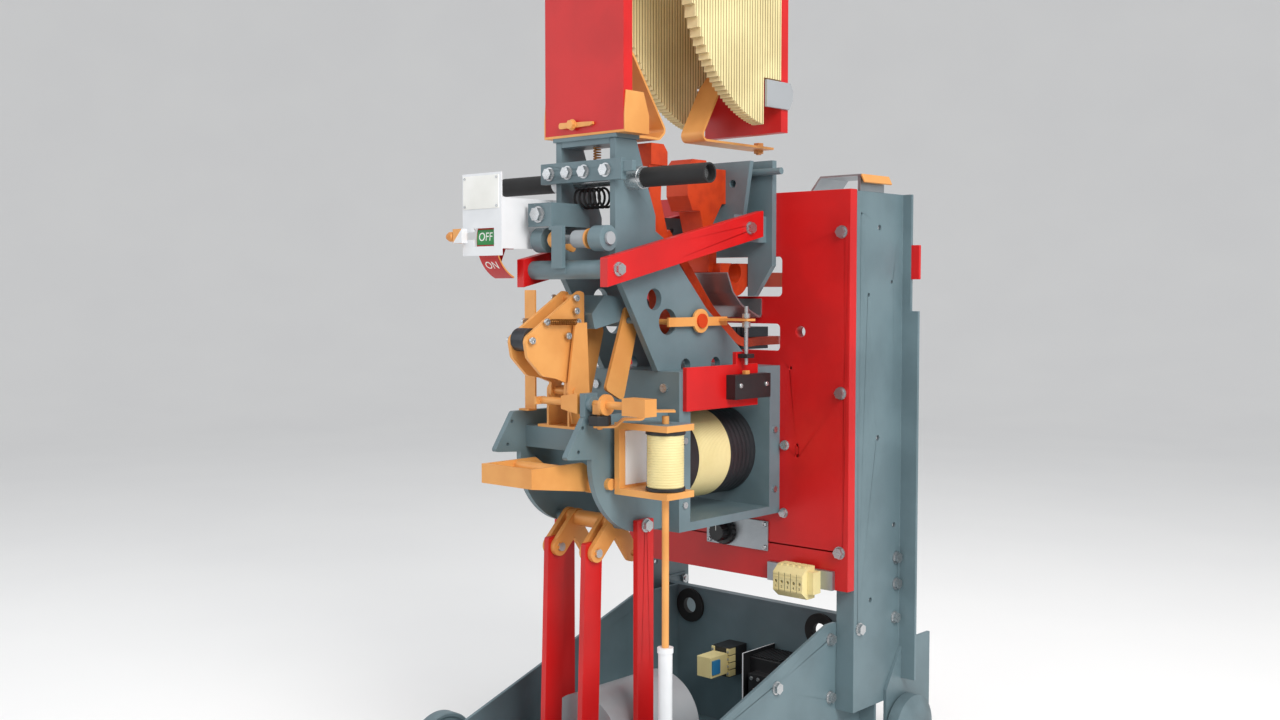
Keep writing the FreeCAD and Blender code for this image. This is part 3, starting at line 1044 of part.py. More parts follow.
def trip_unit():
    """The trip shaft with its wedge, leaf and knob, and the small coil that lifts the leaf."""
    y = TRIP_Y
    z = TRIP_Z
    pieces = [rod_x((-26.0, 206.0), y, z, TRIP_R), rod_x((113.0, 119.0), y, z, 16.0),
              block((160.0, 206.0), (y - 13.0, y + 13.0), (z - 13.0, z + 13.0)),
              block((-26.0, -21.5), (y - 14.0, y + 6.0), (z - 6.0, z + 6.0)),
              profile_y([(31.0, z - 10.0), (31.0, z + 10.0), (66.0, z + 16.0), (66.0, z - 16.0)], (y - 12.0, y + 12.0)),
              block((KNOB_X - 8.0, KNOB_X + 8.0), (y - 8.0, y + 8.0), (KNOB_Z[1] + 2.0, z)),
              rod_z(KNOB_X, y, (LEAF_Z - 3.0, KNOB_Z[1] + 2.0), KNOB_STUD_R)]
    rise = KNOB_Z[0] - SEAT_GAP - LEAF_Z
    path = [(-10.0, LEAF_Z), (24.0, LEAF_Z, 4.0), (36.0, LEAF_Z + 11.0, 4.0), (64.0, LEAF_Z + 11.0, 4.0),
            (76.0, LEAF_Z + 23.0, 4.0), (114.0, LEAF_Z + 23.0)]
    leaf = profile_x(ribbon(path, rise), (-11.0, 11.0))
    turn = math.degrees(math.atan2(PLUNGER_X - KNOB_X, PLUNGER_Y - y))
    leaf.rotate(vec(0, 0, 0), vec(0, 0, 1), -turn)
    leaf.translate(vec(KNOB_X, y, 0))
    pieces.append(leaf)
    keep("trip_shaft", [joined(pieces)])
    knob = hexagon_z(KNOB_X, y, KNOB_Z, KNOB_R)
    keep("adjusting_knob", [knob.cut(rod_z(KNOB_X, y, (KNOB_Z[0] - 1, KNOB_Z[1] + 1), KNOB_STUD_R + BORE_GAP))])
    bearing = block((SIDE_IN_X - 1.0, SIDE_OUT_X), (y - 13.0, y + 14.0), (SIDE_TOP, z + 16.0))
    boss = rod_x((SIDE_OUT_X, SIDE_OUT_X + 8.0), y, z, 12.0)
    bearing = joined([bearing, boss]).cut(rod_x((60.0, 110.0), y, z, TRIP_R + BORE_GAP))
    lo, hi = TRIP_COIL_Z
    deep = (PLUNGER_Y - TRIP_COIL_R - 1.0, PLUNGER_Y + TRIP_COIL_R + 1.0)
    across = (YOKE_X[0], PLUNGER_X + TRIP_COIL_R)
    yoke = joined([block(YOKE_X, deep, (lo - YOKE_T, hi + YOKE_T)), block(across, deep, (hi, hi + YOKE_T)),
                   block(across, deep, (lo - YOKE_T, lo)), rod_x((SIDE_OUT_X, YOKE_X[0]), -377.0, 617.0, 8.0),
                   rod_x((SIDE_OUT_X, YOKE_X[0]), -374.0, 569.0, 8.0)])
    tall = (lo - YOKE_T - 1, hi + YOKE_T + 1)
    yoke = yoke.cut(rod_z(PLUNGER_X, PLUNGER_Y, tall, PLUNGER_R + BORE_GAP))
    sleeve = rod_z(PLUNGER_X, PLUNGER_Y, (FLOOR_Z, SLEEVE_TOP - 8.0), 11.0)
    collar = rod_z(PLUNGER_X, PLUNGER_Y, (SLEEVE_TOP - 8.0, SLEEVE_TOP), 12.5)
    sleeve = joined([sleeve, collar])
    sleeve = sleeve.cut(rod_z(PLUNGER_X, PLUNGER_Y, (SLEEVE_TOP - 40.0, SLEEVE_TOP + 1), PLUNGER_R + BORE_GAP))
    keep("trip_yoke", [yoke, bearing, sleeve])
    coil = rod_z(PLUNGER_X, PLUNGER_Y, (lo, hi), TRIP_COIL_R)
    keep("trip_coil", [coil.cut(rod_z(PLUNGER_X, PLUNGER_Y, tall, PLUNGER_R + 6.5))])
    rod = rod_z(PLUNGER_X, PLUNGER_Y, (SLEEVE_TOP - 20.0, PLUNGER_TOP), PLUNGER_R)
    core = rod_z(PLUNGER_X, PLUNGER_Y, (lo + 4.0, hi - 12.0), PLUNGER_R + 6.0)
    keep("trip_plunger", [joined([rod, core])])


def sheet_brackets():
    """Bent sheet pieces: above the right column, beside it, below the magnet and beside the latch."""
    tray = profile_y(ribbon([(157.0, 1020.0), (175.0, 1042.0), (256.0, 1042.0), (262.0, 1030.0)], 3.0), (24.0, 110.0))
    lip = block((COLUMN_IN_X, COLUMN_X), (30.0, 104.0), (COLUMN_TOP, 1042.0))
    beside = block((COLUMN_X + REAR_FLANGE_TOP, 286.0), (COLUMN_BACK_Y - SHEET, COLUMN_BACK_Y), (868.0, 928.0))
    plate = block((-55.0, 85.0), (-3.0, 0), (385.0, 438.0))
    strip = block((-84.0, -60.0), (-432.0, -429.0), (SIDE_TOP, 849.0))
    foot = block((-84.0, -60.0), (-446.0, -429.0), (SIDE_TOP, SIDE_TOP + 3.0))
    rail = block((88.0, 226.0), (-8.0, 0), (PANEL_BOTTOM, PANEL_BOTTOM + 33.0))
    keep("sheet_brackets", [joined([tray, lip]), beside, plate, joined([strip, foot]), rail])
    knob = rod_y(DIAL_X, (-30.0, -3.0 - SEAT_GAP), DIAL_Z, 17.0)
    skirt = rod_y(DIAL_X, (-12.0, -3.0 - SEAT_GAP), DIAL_Z, 26.0)
    keep("rheostat_knob", [joined([knob, skirt])])


def control_gear():
    """Terminal blocks on their rail, and the relay and the contactor in front of the rear wall."""
    made = []
    for i in range(TERMINAL_COUNT):
        x0 = 128.0 + i * TERMINAL_PITCH
        body = profile_x([(-45.0, 330.0), (-30.0, 318.0), (-8.0, 318.0), (-8.0, 374.0), (-30.0, 374.0), (-45.0, 362.0)],
                         (x0 + 0.15, x0 + TERMINAL_PITCH - 0.15))
        made.append(body.cut(rod_y(x0 + TERMINAL_PITCH / 2.0, (-46.0, -36.0), 346.0, SCREW_R)))
    made.append(block((190.15, 202.0), (-30.0, -8.0), (328.0, 366.0)))
    keep("terminal_blocks", made)
    relay = block((-76.0, -42.0), (-5.0, 45.0), (130.0, 168.0))
    relay = relay.cut(block((-46.0, -41.0), (-3.3, 19.3), (135.7, 162.3)))
    socket = block((-80.0, -38.0), (45.0, GUSSET_REAR_Y), (122.0, 178.0))
    divider = block((26.0, 29.0), (0, GUSSET_REAR_Y), (60.0, 190.0))
    contactor = block((29.0, 97.0), (20.0, GUSSET_REAR_Y), (60.0, 180.0))
    nose = block((41.0, 85.0), (0, 20.0), (84.0, 156.0))
    keep("control_gear", [relay, socket, divider, joined([contactor, nose])])
    keep("relay_button", [block((-43.2, -39.0), (-3.0, 19.0), (136.0, 162.0))])


def hexagon_z(x, y, z, r):
    corners = []
    for i in range(7):
        angle = math.radians(60.0 * i)
        corners.append(vec(x + r * math.cos(angle), y + r * math.sin(angle), z[0]))
    return Part.Face(Part.makePolygon(corners)).extrude(vec(0, 0, z[1] - z[0]))


def main():
    for make in (panel, columns, base, bolts_and_screws, wheels, magnet, head, handle, insulating_bars,
                 head_fittings, indicator_shaft, indicator, contact_frame, fixed_contact, arc_shields, jaw_fingers,
                 moving_contact, switch_gear, drive_lever, chute, horns, latch, front_frame, bail, crank,
                 base_mechanism, trip_unit, sheet_brackets, control_gear):
        make()
    os.makedirs("parts", exist_ok=True)
    for name, shape in PARTS.items():
        shape.exportStep("parts/%s.step" % name)
        print(name, len(shape.Solids), [round(s.Volume) for s in shape.Solids][:4], shape.isValid())
    print(len(PARTS), "sub-parts")


main()
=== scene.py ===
"""High-speed circuit breaker on a wheeled truck: dressed model, finishes and studio."""
import json
import logging
import math
from dataclasses import dataclass, field
from enum import Enum
from typing import Dict, List, Sequence, Tuple, Union

import bmesh
import bpy
import numpy as np
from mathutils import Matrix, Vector


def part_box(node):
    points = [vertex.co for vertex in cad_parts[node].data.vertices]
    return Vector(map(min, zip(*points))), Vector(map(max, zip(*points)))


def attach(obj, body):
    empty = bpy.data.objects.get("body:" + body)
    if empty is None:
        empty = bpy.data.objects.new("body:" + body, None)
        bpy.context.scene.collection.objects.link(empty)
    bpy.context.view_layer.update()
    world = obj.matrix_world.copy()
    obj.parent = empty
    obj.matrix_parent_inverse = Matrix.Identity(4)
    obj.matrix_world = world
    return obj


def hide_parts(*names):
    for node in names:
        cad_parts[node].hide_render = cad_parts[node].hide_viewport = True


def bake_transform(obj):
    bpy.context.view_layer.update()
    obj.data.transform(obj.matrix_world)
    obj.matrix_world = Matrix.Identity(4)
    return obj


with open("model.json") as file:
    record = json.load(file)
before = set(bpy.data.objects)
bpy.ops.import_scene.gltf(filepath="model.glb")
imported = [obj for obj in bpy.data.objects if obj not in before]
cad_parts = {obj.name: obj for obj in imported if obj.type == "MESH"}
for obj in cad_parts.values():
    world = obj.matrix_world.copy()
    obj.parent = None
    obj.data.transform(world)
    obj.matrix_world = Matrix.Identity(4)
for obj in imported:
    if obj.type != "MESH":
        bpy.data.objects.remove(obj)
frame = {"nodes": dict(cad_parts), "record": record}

LOG = logging.getLogger("breaker")
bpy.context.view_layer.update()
PANEL_FRONT_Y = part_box("panel")[0][1]
TRUCK = "truck"
SMOOTH_BELOW = math.radians(40.0)
BEVEL_ABOVE = math.radians(38.0)
SAME_PLACE = 1e-6
POINTS_PER_TURN = 18
SCREW_POINTS = 20
FORWARD = (0, -1, 0)
SIDES = ((-1, "left"), (1, "right"))
TERMINAL_COUNT = 5
# Left edge and pitch of the terminals, in millimetres.
TERMINAL_LEFT = 128.0
TERMINAL_PITCH = 12.4
Point = Tuple[float, float, float]
Colour = Tuple[float, float, float]


def at(x: float, y: float, z: float) -> Point:
    """Millimetres from the panel's front face and the floor, turned into metres of the frame."""
    return (x / 1000.0, PANEL_FRONT_Y + y / 1000.0, z / 1000.0)


def linear(red: int, green: int, blue: int) -> Colour:
    """Scene-linear colour of a display colour given in steps of 255."""
    steps = (red, green, blue)
    parts = [((c / 255.0 + 0.055) / 1.055) ** 2.4 if c > 10 else c / 3295.0 for c in steps]
    return (parts[0], parts[1], parts[2])


def terminal_middle(index: int) -> float:
    """Where one terminal of the row has its middle across the breaker, in millimetres."""
    return TERMINAL_LEFT + TERMINAL_PITCH * (index + 0.5)


class Surface(Enum):
    """The way a finish varies over its surface."""

    PAINT = "paint"
    PLATED = "plated"
    BOARD = "board"
    STACK = "stack"
    TAPE = "tape"
    MOULDED = "moulded"
    CAST = "cast"
    COPPER = "copper"


@dataclass(frozen=True)
class Finish:
    """One finish: its two colours, its gloss and how it varies.

    Attributes:
        name: The name that pieces ask for.
        surface: How it varies.
        colour: Its main colour.
        shade: The colour of its darker areas; on the splitter stack it is painted shade in the gap
            between two plates.
        roughness: Mean roughness.
        metallic: Share of bare metal.
        coat: Strength of the clear coat.
        relief: Strength of the small bumps.
    """

    name: str
    surface: Surface
    colour: Colour
    shade: Colour
    roughness: float
    metallic: float = 0.0
    coat: float = 0.0
    relief: float = 0.15


ALL_FINISHES: Tuple[Finish, ...] = (
    Finish("red_board", Surface.BOARD, linear(202, 12, 14), linear(182, 7, 9), 0.46, coat=0.08),
    Finish("grey_paint", Surface.PAINT, linear(103, 124, 131), linear(92, 112, 119),
           0.46, coat=0.1),
    Finish("pale_paint", Surface.PAINT, linear(158, 162, 166), linear(144, 149, 153),
           0.4, coat=0.1),
    Finish("white_enamel", Surface.PAINT, linear(226, 228, 231), linear(214, 217, 220),
           0.38, coat=0.15),
    Finish("zinc_sheet", Surface.PLATED, linear(176, 182, 186), linear(140, 147, 152),
           0.36, metallic=0.85),
    Finish("zinc_fasteners", Surface.PLATED, linear(205, 207, 208), linear(164, 167, 170),
           0.28, metallic=0.9),
    Finish("dark_steel", Surface.PLATED, linear(72, 74, 78), linear(48, 50, 54),
           0.4, metallic=0.8),
    Finish("cast_wheel", Surface.CAST, linear(106, 126, 133), linear(84, 101, 107),
           0.5, relief=0.35),
    Finish("orange_chromate", Surface.PAINT, linear(228, 164, 92), linear(212, 144, 74),
           0.42, metallic=0.15),
    Finish("copper", Surface.COPPER, linear(206, 66, 20), linear(186, 54, 15), 0.42, metallic=0.2),
    Finish("silver_tip", Surface.PLATED, linear(222, 220, 214), linear(180, 176, 168),
           0.3, metallic=0.9),
    Finish("cream_insulation", Surface.BOARD, linear(228, 214, 158), linear(206, 188, 128), 0.55),
    # The splitter stack's shade colour is painted shade in the gap between two plates.
    Finish("splitter_stack", Surface.STACK, linear(232, 218, 166), linear(118, 98, 54),
           0.62, relief=0.5),
    Finish("coil_tape", Surface.TAPE, linear(38, 38, 42), linear(18, 18, 21), 0.5, relief=0.4),
    Finish("black_rubber", Surface.MOULDED, linear(30, 30, 31), linear(18, 18, 19), 0.7),
    Finish("black_plastic", Surface.MOULDED, linear(34, 35, 37), linear(22, 22, 24), 0.42),
    Finish("blue_plastic", Surface.MOULDED, linear(46, 128, 176), linear(36, 108, 156), 0.38),
    Finish("white_plate", Surface.MOULDED, linear(238, 238, 234), linear(222, 222, 216), 0.45),
    Finish("black_ink", Surface.MOULDED, linear(16, 16, 16), linear(10, 10, 10), 0.6),
    Finish("bronze_wire", Surface.PLATED, linear(158, 104, 46), linear(120, 76, 30),
           0.35, metallic=0.7),
    Finish("green_label", Surface.MOULDED, linear(24, 132, 60), linear(18, 118, 52), 0.45),
    Finish("red_label", Surface.MOULDED, linear(190, 18, 20), linear(172, 12, 14), 0.45),
)
FINISHES: Dict[str, Finish] = {finish.name: finish for finish in ALL_FINISHES}

Number = Union[float, "Field"]


@dataclass
class Field:
    """A number that varies over a surface, written with the usual operators."""

    graph: "Graph"
    socket: bpy.types.NodeSocket

    def _maths(self, operation: str, first: Number, second: Number) -> "Field":
        """A maths node on two numbers or fields."""
        made = self.graph.node("ShaderNodeMath", operation=operation)
        for place, value in enumerate((first, second)):
            self.graph.feed(made.inputs[place], value)
        return Field(self.graph, made.outputs[0])

    def __add__(self, other: Number) -> "Field":
        """Sum."""
        return self._maths("ADD", self, other)

    def __radd__(self, other: Number) -> "Field":
        """Sum, with a plain number on the left."""
        return self._maths("ADD", other, self)

    def __sub__(self, other: Number) -> "Field":
        """Difference."""
        return self._maths("SUBTRACT", self, other)

    def __rsub__(self, other: Number) -> "Field":
        """Difference from a plain number."""
        return self._maths("SUBTRACT", other, self)

    def __mul__(self, other: Number) -> "Field":
        """Product."""
        return self._maths("MULTIPLY", self, other)

    def __rmul__(self, other: Number) -> "Field":
        """Product, with a plain number on the left."""
        return self._maths("MULTIPLY", other, self)

    def fraction(self) -> "Field":
        """The part after the decimal point."""
        return self._maths("FRACT", self, 0.0)

    def above(self, limit: float) -> "Field":
        """One where the field is above the limit, otherwise zero."""
        return self._maths("GREATER_THAN", self, limit)

    def eased(self, low: float, high: float) -> "Field":
        """The field from low to high, eased into nought to one."""
        made = self.graph.node("ShaderNodeMapRange", interpolation_type="SMOOTHSTEP")
        for place, value in enumerate((self, low, high, 0.0, 1.0)):
            self.graph.feed(made.inputs[place], value)
        return Field(self.graph, made.outputs[0])


class Graph:
    """The node tree of one material."""

    def __init__(self, name: str) -> None:
        """An empty tree with a principled surface joined to the output."""
        self.material = bpy.data.materials.new(name)
        self.material.use_nodes = True
        self.tree = self.material.node_tree
        self.tree.nodes.clear()
        output = self.node("ShaderNodeOutputMaterial")
        self.shader = self.node("ShaderNodeBsdfPrincipled")
        self.tree.links.new(self.shader.outputs["BSDF"], output.inputs["Surface"])
        self.place = self.node("ShaderNodeTexCoord").outputs["Object"]

    def node(self, kind: str, **settings: object) -> bpy.types.Node:
        """Add a node.

        Args:
            kind: Blender's name of the node type.
            **settings: Properties set on the node.

        Returns:
            The new node.
        """
        made = self.tree.nodes.new(kind)
        for key, value in settings.items():
            setattr(made, key, value)
        row, column = divmod(len(self.tree.nodes), 9)
        made.location = (-220.0 * column, -160.0 * row)
        return made

    def feed(self, socket: bpy.types.NodeSocket, value: object) -> None:
        """Join a field to a socket, or set a constant on it."""
        if isinstance(value, Field):
            self.tree.links.new(value.socket, socket)
        elif isinstance(value, bpy.types.NodeSocket):
            self.tree.links.new(value, socket)
        else:
            socket.default_value = value

    def noise(self, scale: float, detail: float = 3.0, stretch: Point = (1.0, 1.0, 1.0)) -> Field:
        """Cloudy variation.

        Args:
            scale: Features per metre.
            detail: Octaves of finer noise.
            stretch: Factors on the three axes, small along a grain.

        Returns:
            The noise as a field.
        """
        mapping = self.node("ShaderNodeMapping")
        self.feed(mapping.inputs["Vector"], self.place)
        mapping.inputs["Scale"].default_value = stretch
        made = self.node("ShaderNodeTexNoise")
        self.feed(made.inputs["Vector"], mapping.outputs[0])
        made.inputs["Scale"].default_value = scale
        made.inputs["Detail"].default_value = detail
        return Field(self, made.outputs["Fac"])

    def axis(self, index: int) -> Field:
        """One object coordinate in metres."""
        made = self.node("ShaderNodeSeparateXYZ")
        self.feed(made.inputs[0], self.place)
        return Field(self, made.outputs[index])

    def blend(self, amount: Field, first: object, second: object) -> bpy.types.NodeSocket:
        """A colour between two others."""
        made = self.node("ShaderNodeMix", data_type="RGBA")
        self.feed(made.inputs["Factor"], amount)
        for key, value in ((6, first), (7, second)):
            self.feed(made.inputs[key], (*value, 1.0) if isinstance(value, tuple) else value)
        return made.outputs[2]

    def relief(self, height: Field, strength: float, distance: float) -> None:
        """Raise the surface by a field."""
        bump = self.node("ShaderNodeBump")
        bump.inputs["Strength"].default_value = strength
        bump.inputs["Distance"].default_value = distance
        self.feed(bump.inputs["Height"], height)
        self.feed(self.shader.inputs["Normal"], bump.outputs[0])


@dataclass(frozen=True)
class Weave:
    """Numbers of the patterns that repeat: counts per metre, phases and shares."""

    plates_per_metre: float = 138.64
    plate_phase: float = 0.11
    gap_share: float = 0.3
    tape_across: float = 160.0
    tape_up: float = 30.0
    tape_edge: float = 0.85


WEAVE = Weave()
FINE_RELIEF = 0.0004
TAPE_RELIEF = 0.0006
CAST_RELIEF = 0.0009
PLATE_RELIEF = 0.0012


class Workshop:
    """Makes each finish once and gives it to pieces."""

    def __init__(self) -> None:
        """Start with no finish made."""
        self.made: Dict[str, bpy.types.Material] = {}

    def material(self, name: str) -> bpy.types.Material:
        """The material of a named finish."""
        if name not in self.made:
            self.made[name] = self._build(FINISHES[name])
        return self.made[name]

    def _build(self, finish: Finish) -> bpy.types.Material:
        """Make the node tree of one finish."""
        graph = Graph(finish.name)
        broad = graph.noise(9.0, 4.0)
        fine = graph.noise(420.0, 2.0)
        mask = broad.eased(0.35, 0.68)
        rough = finish.roughness + 0.06 * (broad - 0.5)
        height, distance = fine, FINE_RELIEF
        if finish.surface is Surface.STACK:
            # Each gap between two splitter plates is painted as a dark stripe of shade; the bump
            # presses the same stripe in.
            sheets = (graph.axis(1) * WEAVE.plates_per_metre + WEAVE.plate_phase).fraction()
            painted_gap_shade = 1.0 - sheets.above(WEAVE.gap_share)
            mask = 0.2 * mask + 0.8 * painted_gap_shade
            height, distance = sheets.above(WEAVE.gap_share), PLATE_RELIEF
        elif finish.surface is Surface.TAPE:
            weave = (graph.axis(1) * WEAVE.tape_across + graph.axis(2) * WEAVE.tape_up).fraction()
            mask = 0.5 * mask + 0.5 * weave.above(WEAVE.tape_edge)
            height, distance = weave, TAPE_RELIEF
        elif finish.surface is Surface.PLATED:
            grain = graph.noise(90.0, 3.0, (1.0, 9.0, 9.0))
            mask = 0.6 * mask + 0.4 * grain
            rough = rough + 0.1 * (grain - 0.5)
        elif finish.surface is Surface.COPPER:
            stain = graph.noise(34.0, 5.0)
            mask = stain.eased(0.38, 0.7)
            rough = rough + 0.22 * (stain - 0.5)
        elif finish.surface is Surface.CAST:
            height, distance = graph.noise(240.0, 4.0), CAST_RELIEF
        elif finish.surface is Surface.BOARD:
            speck = graph.noise(1500.0, 1.0)
            mask = 0.75 * mask + 0.25 * speck.eased(0.55, 0.7)
        colour = graph.blend(mask, finish.colour, finish.shade)
        graph.feed(graph.shader.inputs["Base Color"], colour)
        graph.feed(graph.shader.inputs["Roughness"], rough)
        graph.shader.inputs["Metallic"].default_value = finish.metallic
        graph.shader.inputs["Coat Weight"].default_value = finish.coat
        graph.shader.inputs["Coat Roughness"].default_value = 0.25
        graph.relief(height, finish.relief, distance)
        return graph.material

    def dress(self, piece: bpy.types.Object, name: str) -> None:
        """Give a piece one finish."""
        piece.data.materials.clear()
        piece.data.materials.append(self.material(name))


@dataclass
class Sheet:
    """A surface on a grid of points, joined into a mesh.

    Attributes:
        grid: Points in rows and columns.
        wrap_v: Whether the last column joins the first.
        cap: Whether the first and the last row are closed by flat faces.
    """

    grid: np.ndarray
    wrap_v: bool = False
    cap: bool = False

    def faces(self) -> List[Sequence[int]]:
        """Quads over the grid, and flat caps on the first and last row where asked."""
        rows, columns = self.grid.shape[:2]
        index = np.arange(rows * columns).reshape(rows, columns)
        if self.wrap_v:
            index = np.hstack([index, index[:, :1]])
        corners = [index[:-1, :-1], index[:-1, 1:], index[1:, 1:], index[1:, :-1]]
        quads = np.stack(corners, axis=-1)
        found = quads.reshape(-1, 4).tolist()
        if self.cap:
            found.append(list(range(columns))[::-1])
            found.append(list(range((rows - 1) * columns, rows * columns)))
        return found


class Bench:
    """Turns sheets into pieces that ride on the frame."""

    def __init__(self, workshop: Workshop) -> None:
        """Keep the workshop that dresses the pieces."""
        self.workshop = workshop

    def piece(self, name: str, sheets: Sequence[Sheet], finish: str,
              body: str = TRUCK) -> bpy.types.Object:
        """Join sheets into one object.

        Args:
            name: The piece's name.
            sheets: Its surfaces, in metres in the frame.
            finish: The name of its finish.
            body: The body that it rides on, or an empty text for none.

        Returns:
            The new object.
        """
        points: List[np.ndarray] = []
        faces: List[Sequence[int]] = []
        offset = 0
        for sheet in sheets:
            flat = sheet.grid.reshape(-1, 3)
            faces += [[i + offset for i in face] for face in sheet.faces()]
            points.append(flat)
            offset += len(flat)
        mesh = bpy.data.meshes.new(name)
        mesh.from_pydata(np.vstack(points).tolist(), [], faces)
        mesh.validate()
        made = bpy.data.objects.new(name, mesh)
        bpy.context.collection.objects.link(made)
        self._outwards(mesh)
        self.workshop.dress(made, finish)
        if body:
            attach(made, body)
        LOG.info("%s: %d faces", name, len(mesh.polygons))
        return made

    @staticmethod
    def _outwards(mesh: bpy.types.Mesh) -> None:
        """Recalculate the normals to point out, and shade shallow edges smooth."""
        work = bmesh.new()
        work.from_mesh(mesh)
        bmesh.ops.remove_doubles(work, verts=work.verts, dist=SAME_PLACE)
        bmesh.ops.recalc_face_normals(work, faces=work.faces)
        work.to_mesh(mesh)
        work.free()
        mesh.shade_smooth()
        mesh.set_sharp_from_angle(angle=SMOOTH_BELOW)


def circle(count: int) -> np.ndarray:
    """Unit circle: cosine and sine of evenly spaced angles."""
    turn = np.linspace(0.0, 2.0 * math.pi, count, endpoint=False)
    return np.stack([np.cos(turn), np.sin(turn)], axis=-1)


def turned(profile: Sequence[Tuple[float, float]], base: Point, axis: Point,
           count: int = 48) -> Sheet:
    """Surface of revolution: each profile point swept round an axis.

    Args:
        profile: Points as distance along the axis and radius.
        base: The point of the axis from which distances count.
        axis: Its direction.
        count: Points round the circle.

    Returns:
        The closed surface.
    """
    line = Vector(axis).normalized()
    side = line.orthogonal().normalized()
    up = line.cross(side)
    ring = circle(count)
    spread = ring[:, :1] * np.array(side) + ring[:, 1:] * np.array(up)
    shape = np.array(profile)
    along = shape[:, None, :1] * np.array(line)
    grid = np.array(base) + along + shape[:, None, 1:] * spread[None, :, :]
    return Sheet(grid, wrap_v=True, cap=True)


def toothed(profile: Sequence[Tuple[float, float]], base: Point, axis: Point, teeth: int,
            depth: float) -> Sheet:
    """A turned surface whose radius falls by a share between teeth, as on a knurled knob.

    Args:
        profile: Points as distance along the axis and radius.
        base: The point of the axis from which distances count.
        axis: Its direction.
        teeth: Number of teeth; each takes four points of the circle.
        depth: Share of the radius that is missing between teeth.

    Returns:
        The closed surface.
    """
    sheet = turned(profile, base, axis, teeth * 4)
    line = np.array(Vector(axis).normalized())
    rel = sheet.grid - np.array(base)
    along = rel @ line
    radial = rel - along[..., None] * line
    wave = 1.0 - depth * (np.arange(teeth * 4) % 4 >= 2)
    sheet.grid = np.array(base) + along[..., None] * line + radial * wave[None, :, None]
    return sheet


def swept(path: np.ndarray, section: np.ndarray) -> Sheet:
    """A section carried along a path: at each point it stands square to the path.

    Args:
        path: Points of the path.
        section: Points of the section as across and up.

    Returns:
        The closed surface.
    """
    ahead = np.gradient(path, axis=0)
    ahead /= np.linalg.norm(ahead, axis=1)[:, None]
    crosswise = abs(ahead[:, 0]).max() >= 0.9
    guide = np.array([0.0, 0.0, 1.0]) if crosswise else np.array([1.0, 0.0, 0.0])
    up = np.cross(ahead, guide)
    up /= np.linalg.norm(up, axis=1)[:, None]
    across = np.cross(up, ahead)
    sideways = section[None, :, :1] * across[:, None, :]
    upwards = section[None, :, 1:] * up[:, None, :]
    return Sheet(path[:, None, :] + sideways + upwards, wrap_v=True, cap=True)


def smooth_line(points: Sequence[Point], count: int) -> np.ndarray:
    """Cubic curve through the points: each stretch mixes the four points nearest to it."""
    knots = np.array(points)
    padded = np.vstack([2 * knots[0] - knots[1], knots, 2 * knots[-1] - knots[-2]])
    place = np.linspace(0.0, len(knots) - 1.000001, count)
    cell = place.astype(int)
    t = (place - cell)[:, None]
    a, b, c, d = (padded[cell + i] for i in range(4))
    square = (2 * a - 5 * b + 4 * c - d) * t**2
    cube = (3 * b - a - 3 * c + d) * t**3
    return 0.5 * (2 * b + (c - a) * t + square + cube)


def slab(low: Point, high: Point, edge: float = 0.0006) -> List[Sheet]:
    """A block whose two faces square to Z have a chamfered rim, as four stacked loops."""
    x0, y0, z0 = low
    x1, y1, z1 = high
    loops = []
    for z, inset in ((z0, edge), (z0 + edge, 0.0), (z1 - edge, 0.0), (z1, edge)):
        loops.append([(x0 + inset, y0 + inset, z), (x1 - inset, y0 + inset, z),
                      (x1 - inset, y1 - inset, z), (x0 + inset, y1 - inset, z)])
    return [Sheet(np.array(loops), wrap_v=True, cap=True)]


@dataclass(frozen=True)
class Patch:
    """A part of a node with a finish of its own.

    Attributes:
        node: The node.
        finish: The finish of the part.
        low: Low corner of the box that holds the part, in millimetres as at() takes them.
        high: High corner of that box.
    """

    node: str
    finish: str
    low: Point
    high: Point


FAR = 3000.0
PATCHES: Tuple[Patch, ...] = (
    Patch("sheet_brackets", "orange_chromate", (-FAR, -FAR, -FAR), (FAR, -300.0, FAR)),
    Patch("sheet_brackets", "orange_chromate", (252.5, 0.0, 1010.0), (FAR, 112.0, FAR)),
    Patch("sheet_brackets", "red_board", (268.0, 112.0, 860.0), (FAR, FAR, 935.0)),
    Patch("trip_yoke", "white_enamel", (-FAR, -FAR, -FAR), (FAR, FAR, 310.0)),
    Patch("trip_yoke", "grey_paint", (-FAR, -FAR, 645.0), (FAR, FAR, FAR)),
    Patch("indicator_drum", "orange_chromate", (-FAR, -FAR, -FAR), (-149.5, FAR, FAR)),
    Patch("indicator_drum", "orange_chromate", (-104.5, -FAR, -FAR), (FAR, FAR, FAR)),
    Patch("indicator_shaft", "orange_chromate", (-40.5, -FAR, -FAR), (-26.5, FAR, FAR)),
    Patch("indicator_shaft", "orange_chromate", (39.0, -FAR, -FAR), (44.5, FAR, FAR)),
    Patch("indicator_housing", "orange_chromate", (-FAR, -FAR, 916.0), (-177.0, FAR, 945.5)),
    Patch("bell_crank", "zinc_fasteners", (-FAR, -413.6, 429.4), (FAR, -400.4, 442.6)),
    Patch("drive_lever", "grey_paint", (-34.1, -FAR, 786.0), (34.1, -316.0, FAR)),
    Patch("chute_base", "pale_paint", (-FAR, -20.5, 1160.0), (FAR, FAR, FAR)),
    Patch("control_gear", "cream_insulation", (-77.0, -6.0, 129.0), (-41.0, 44.9, 169.0)),
    Patch("control_gear", "white_enamel", (25.9, -FAR, -FAR), (28.9, FAR, FAR)),
)


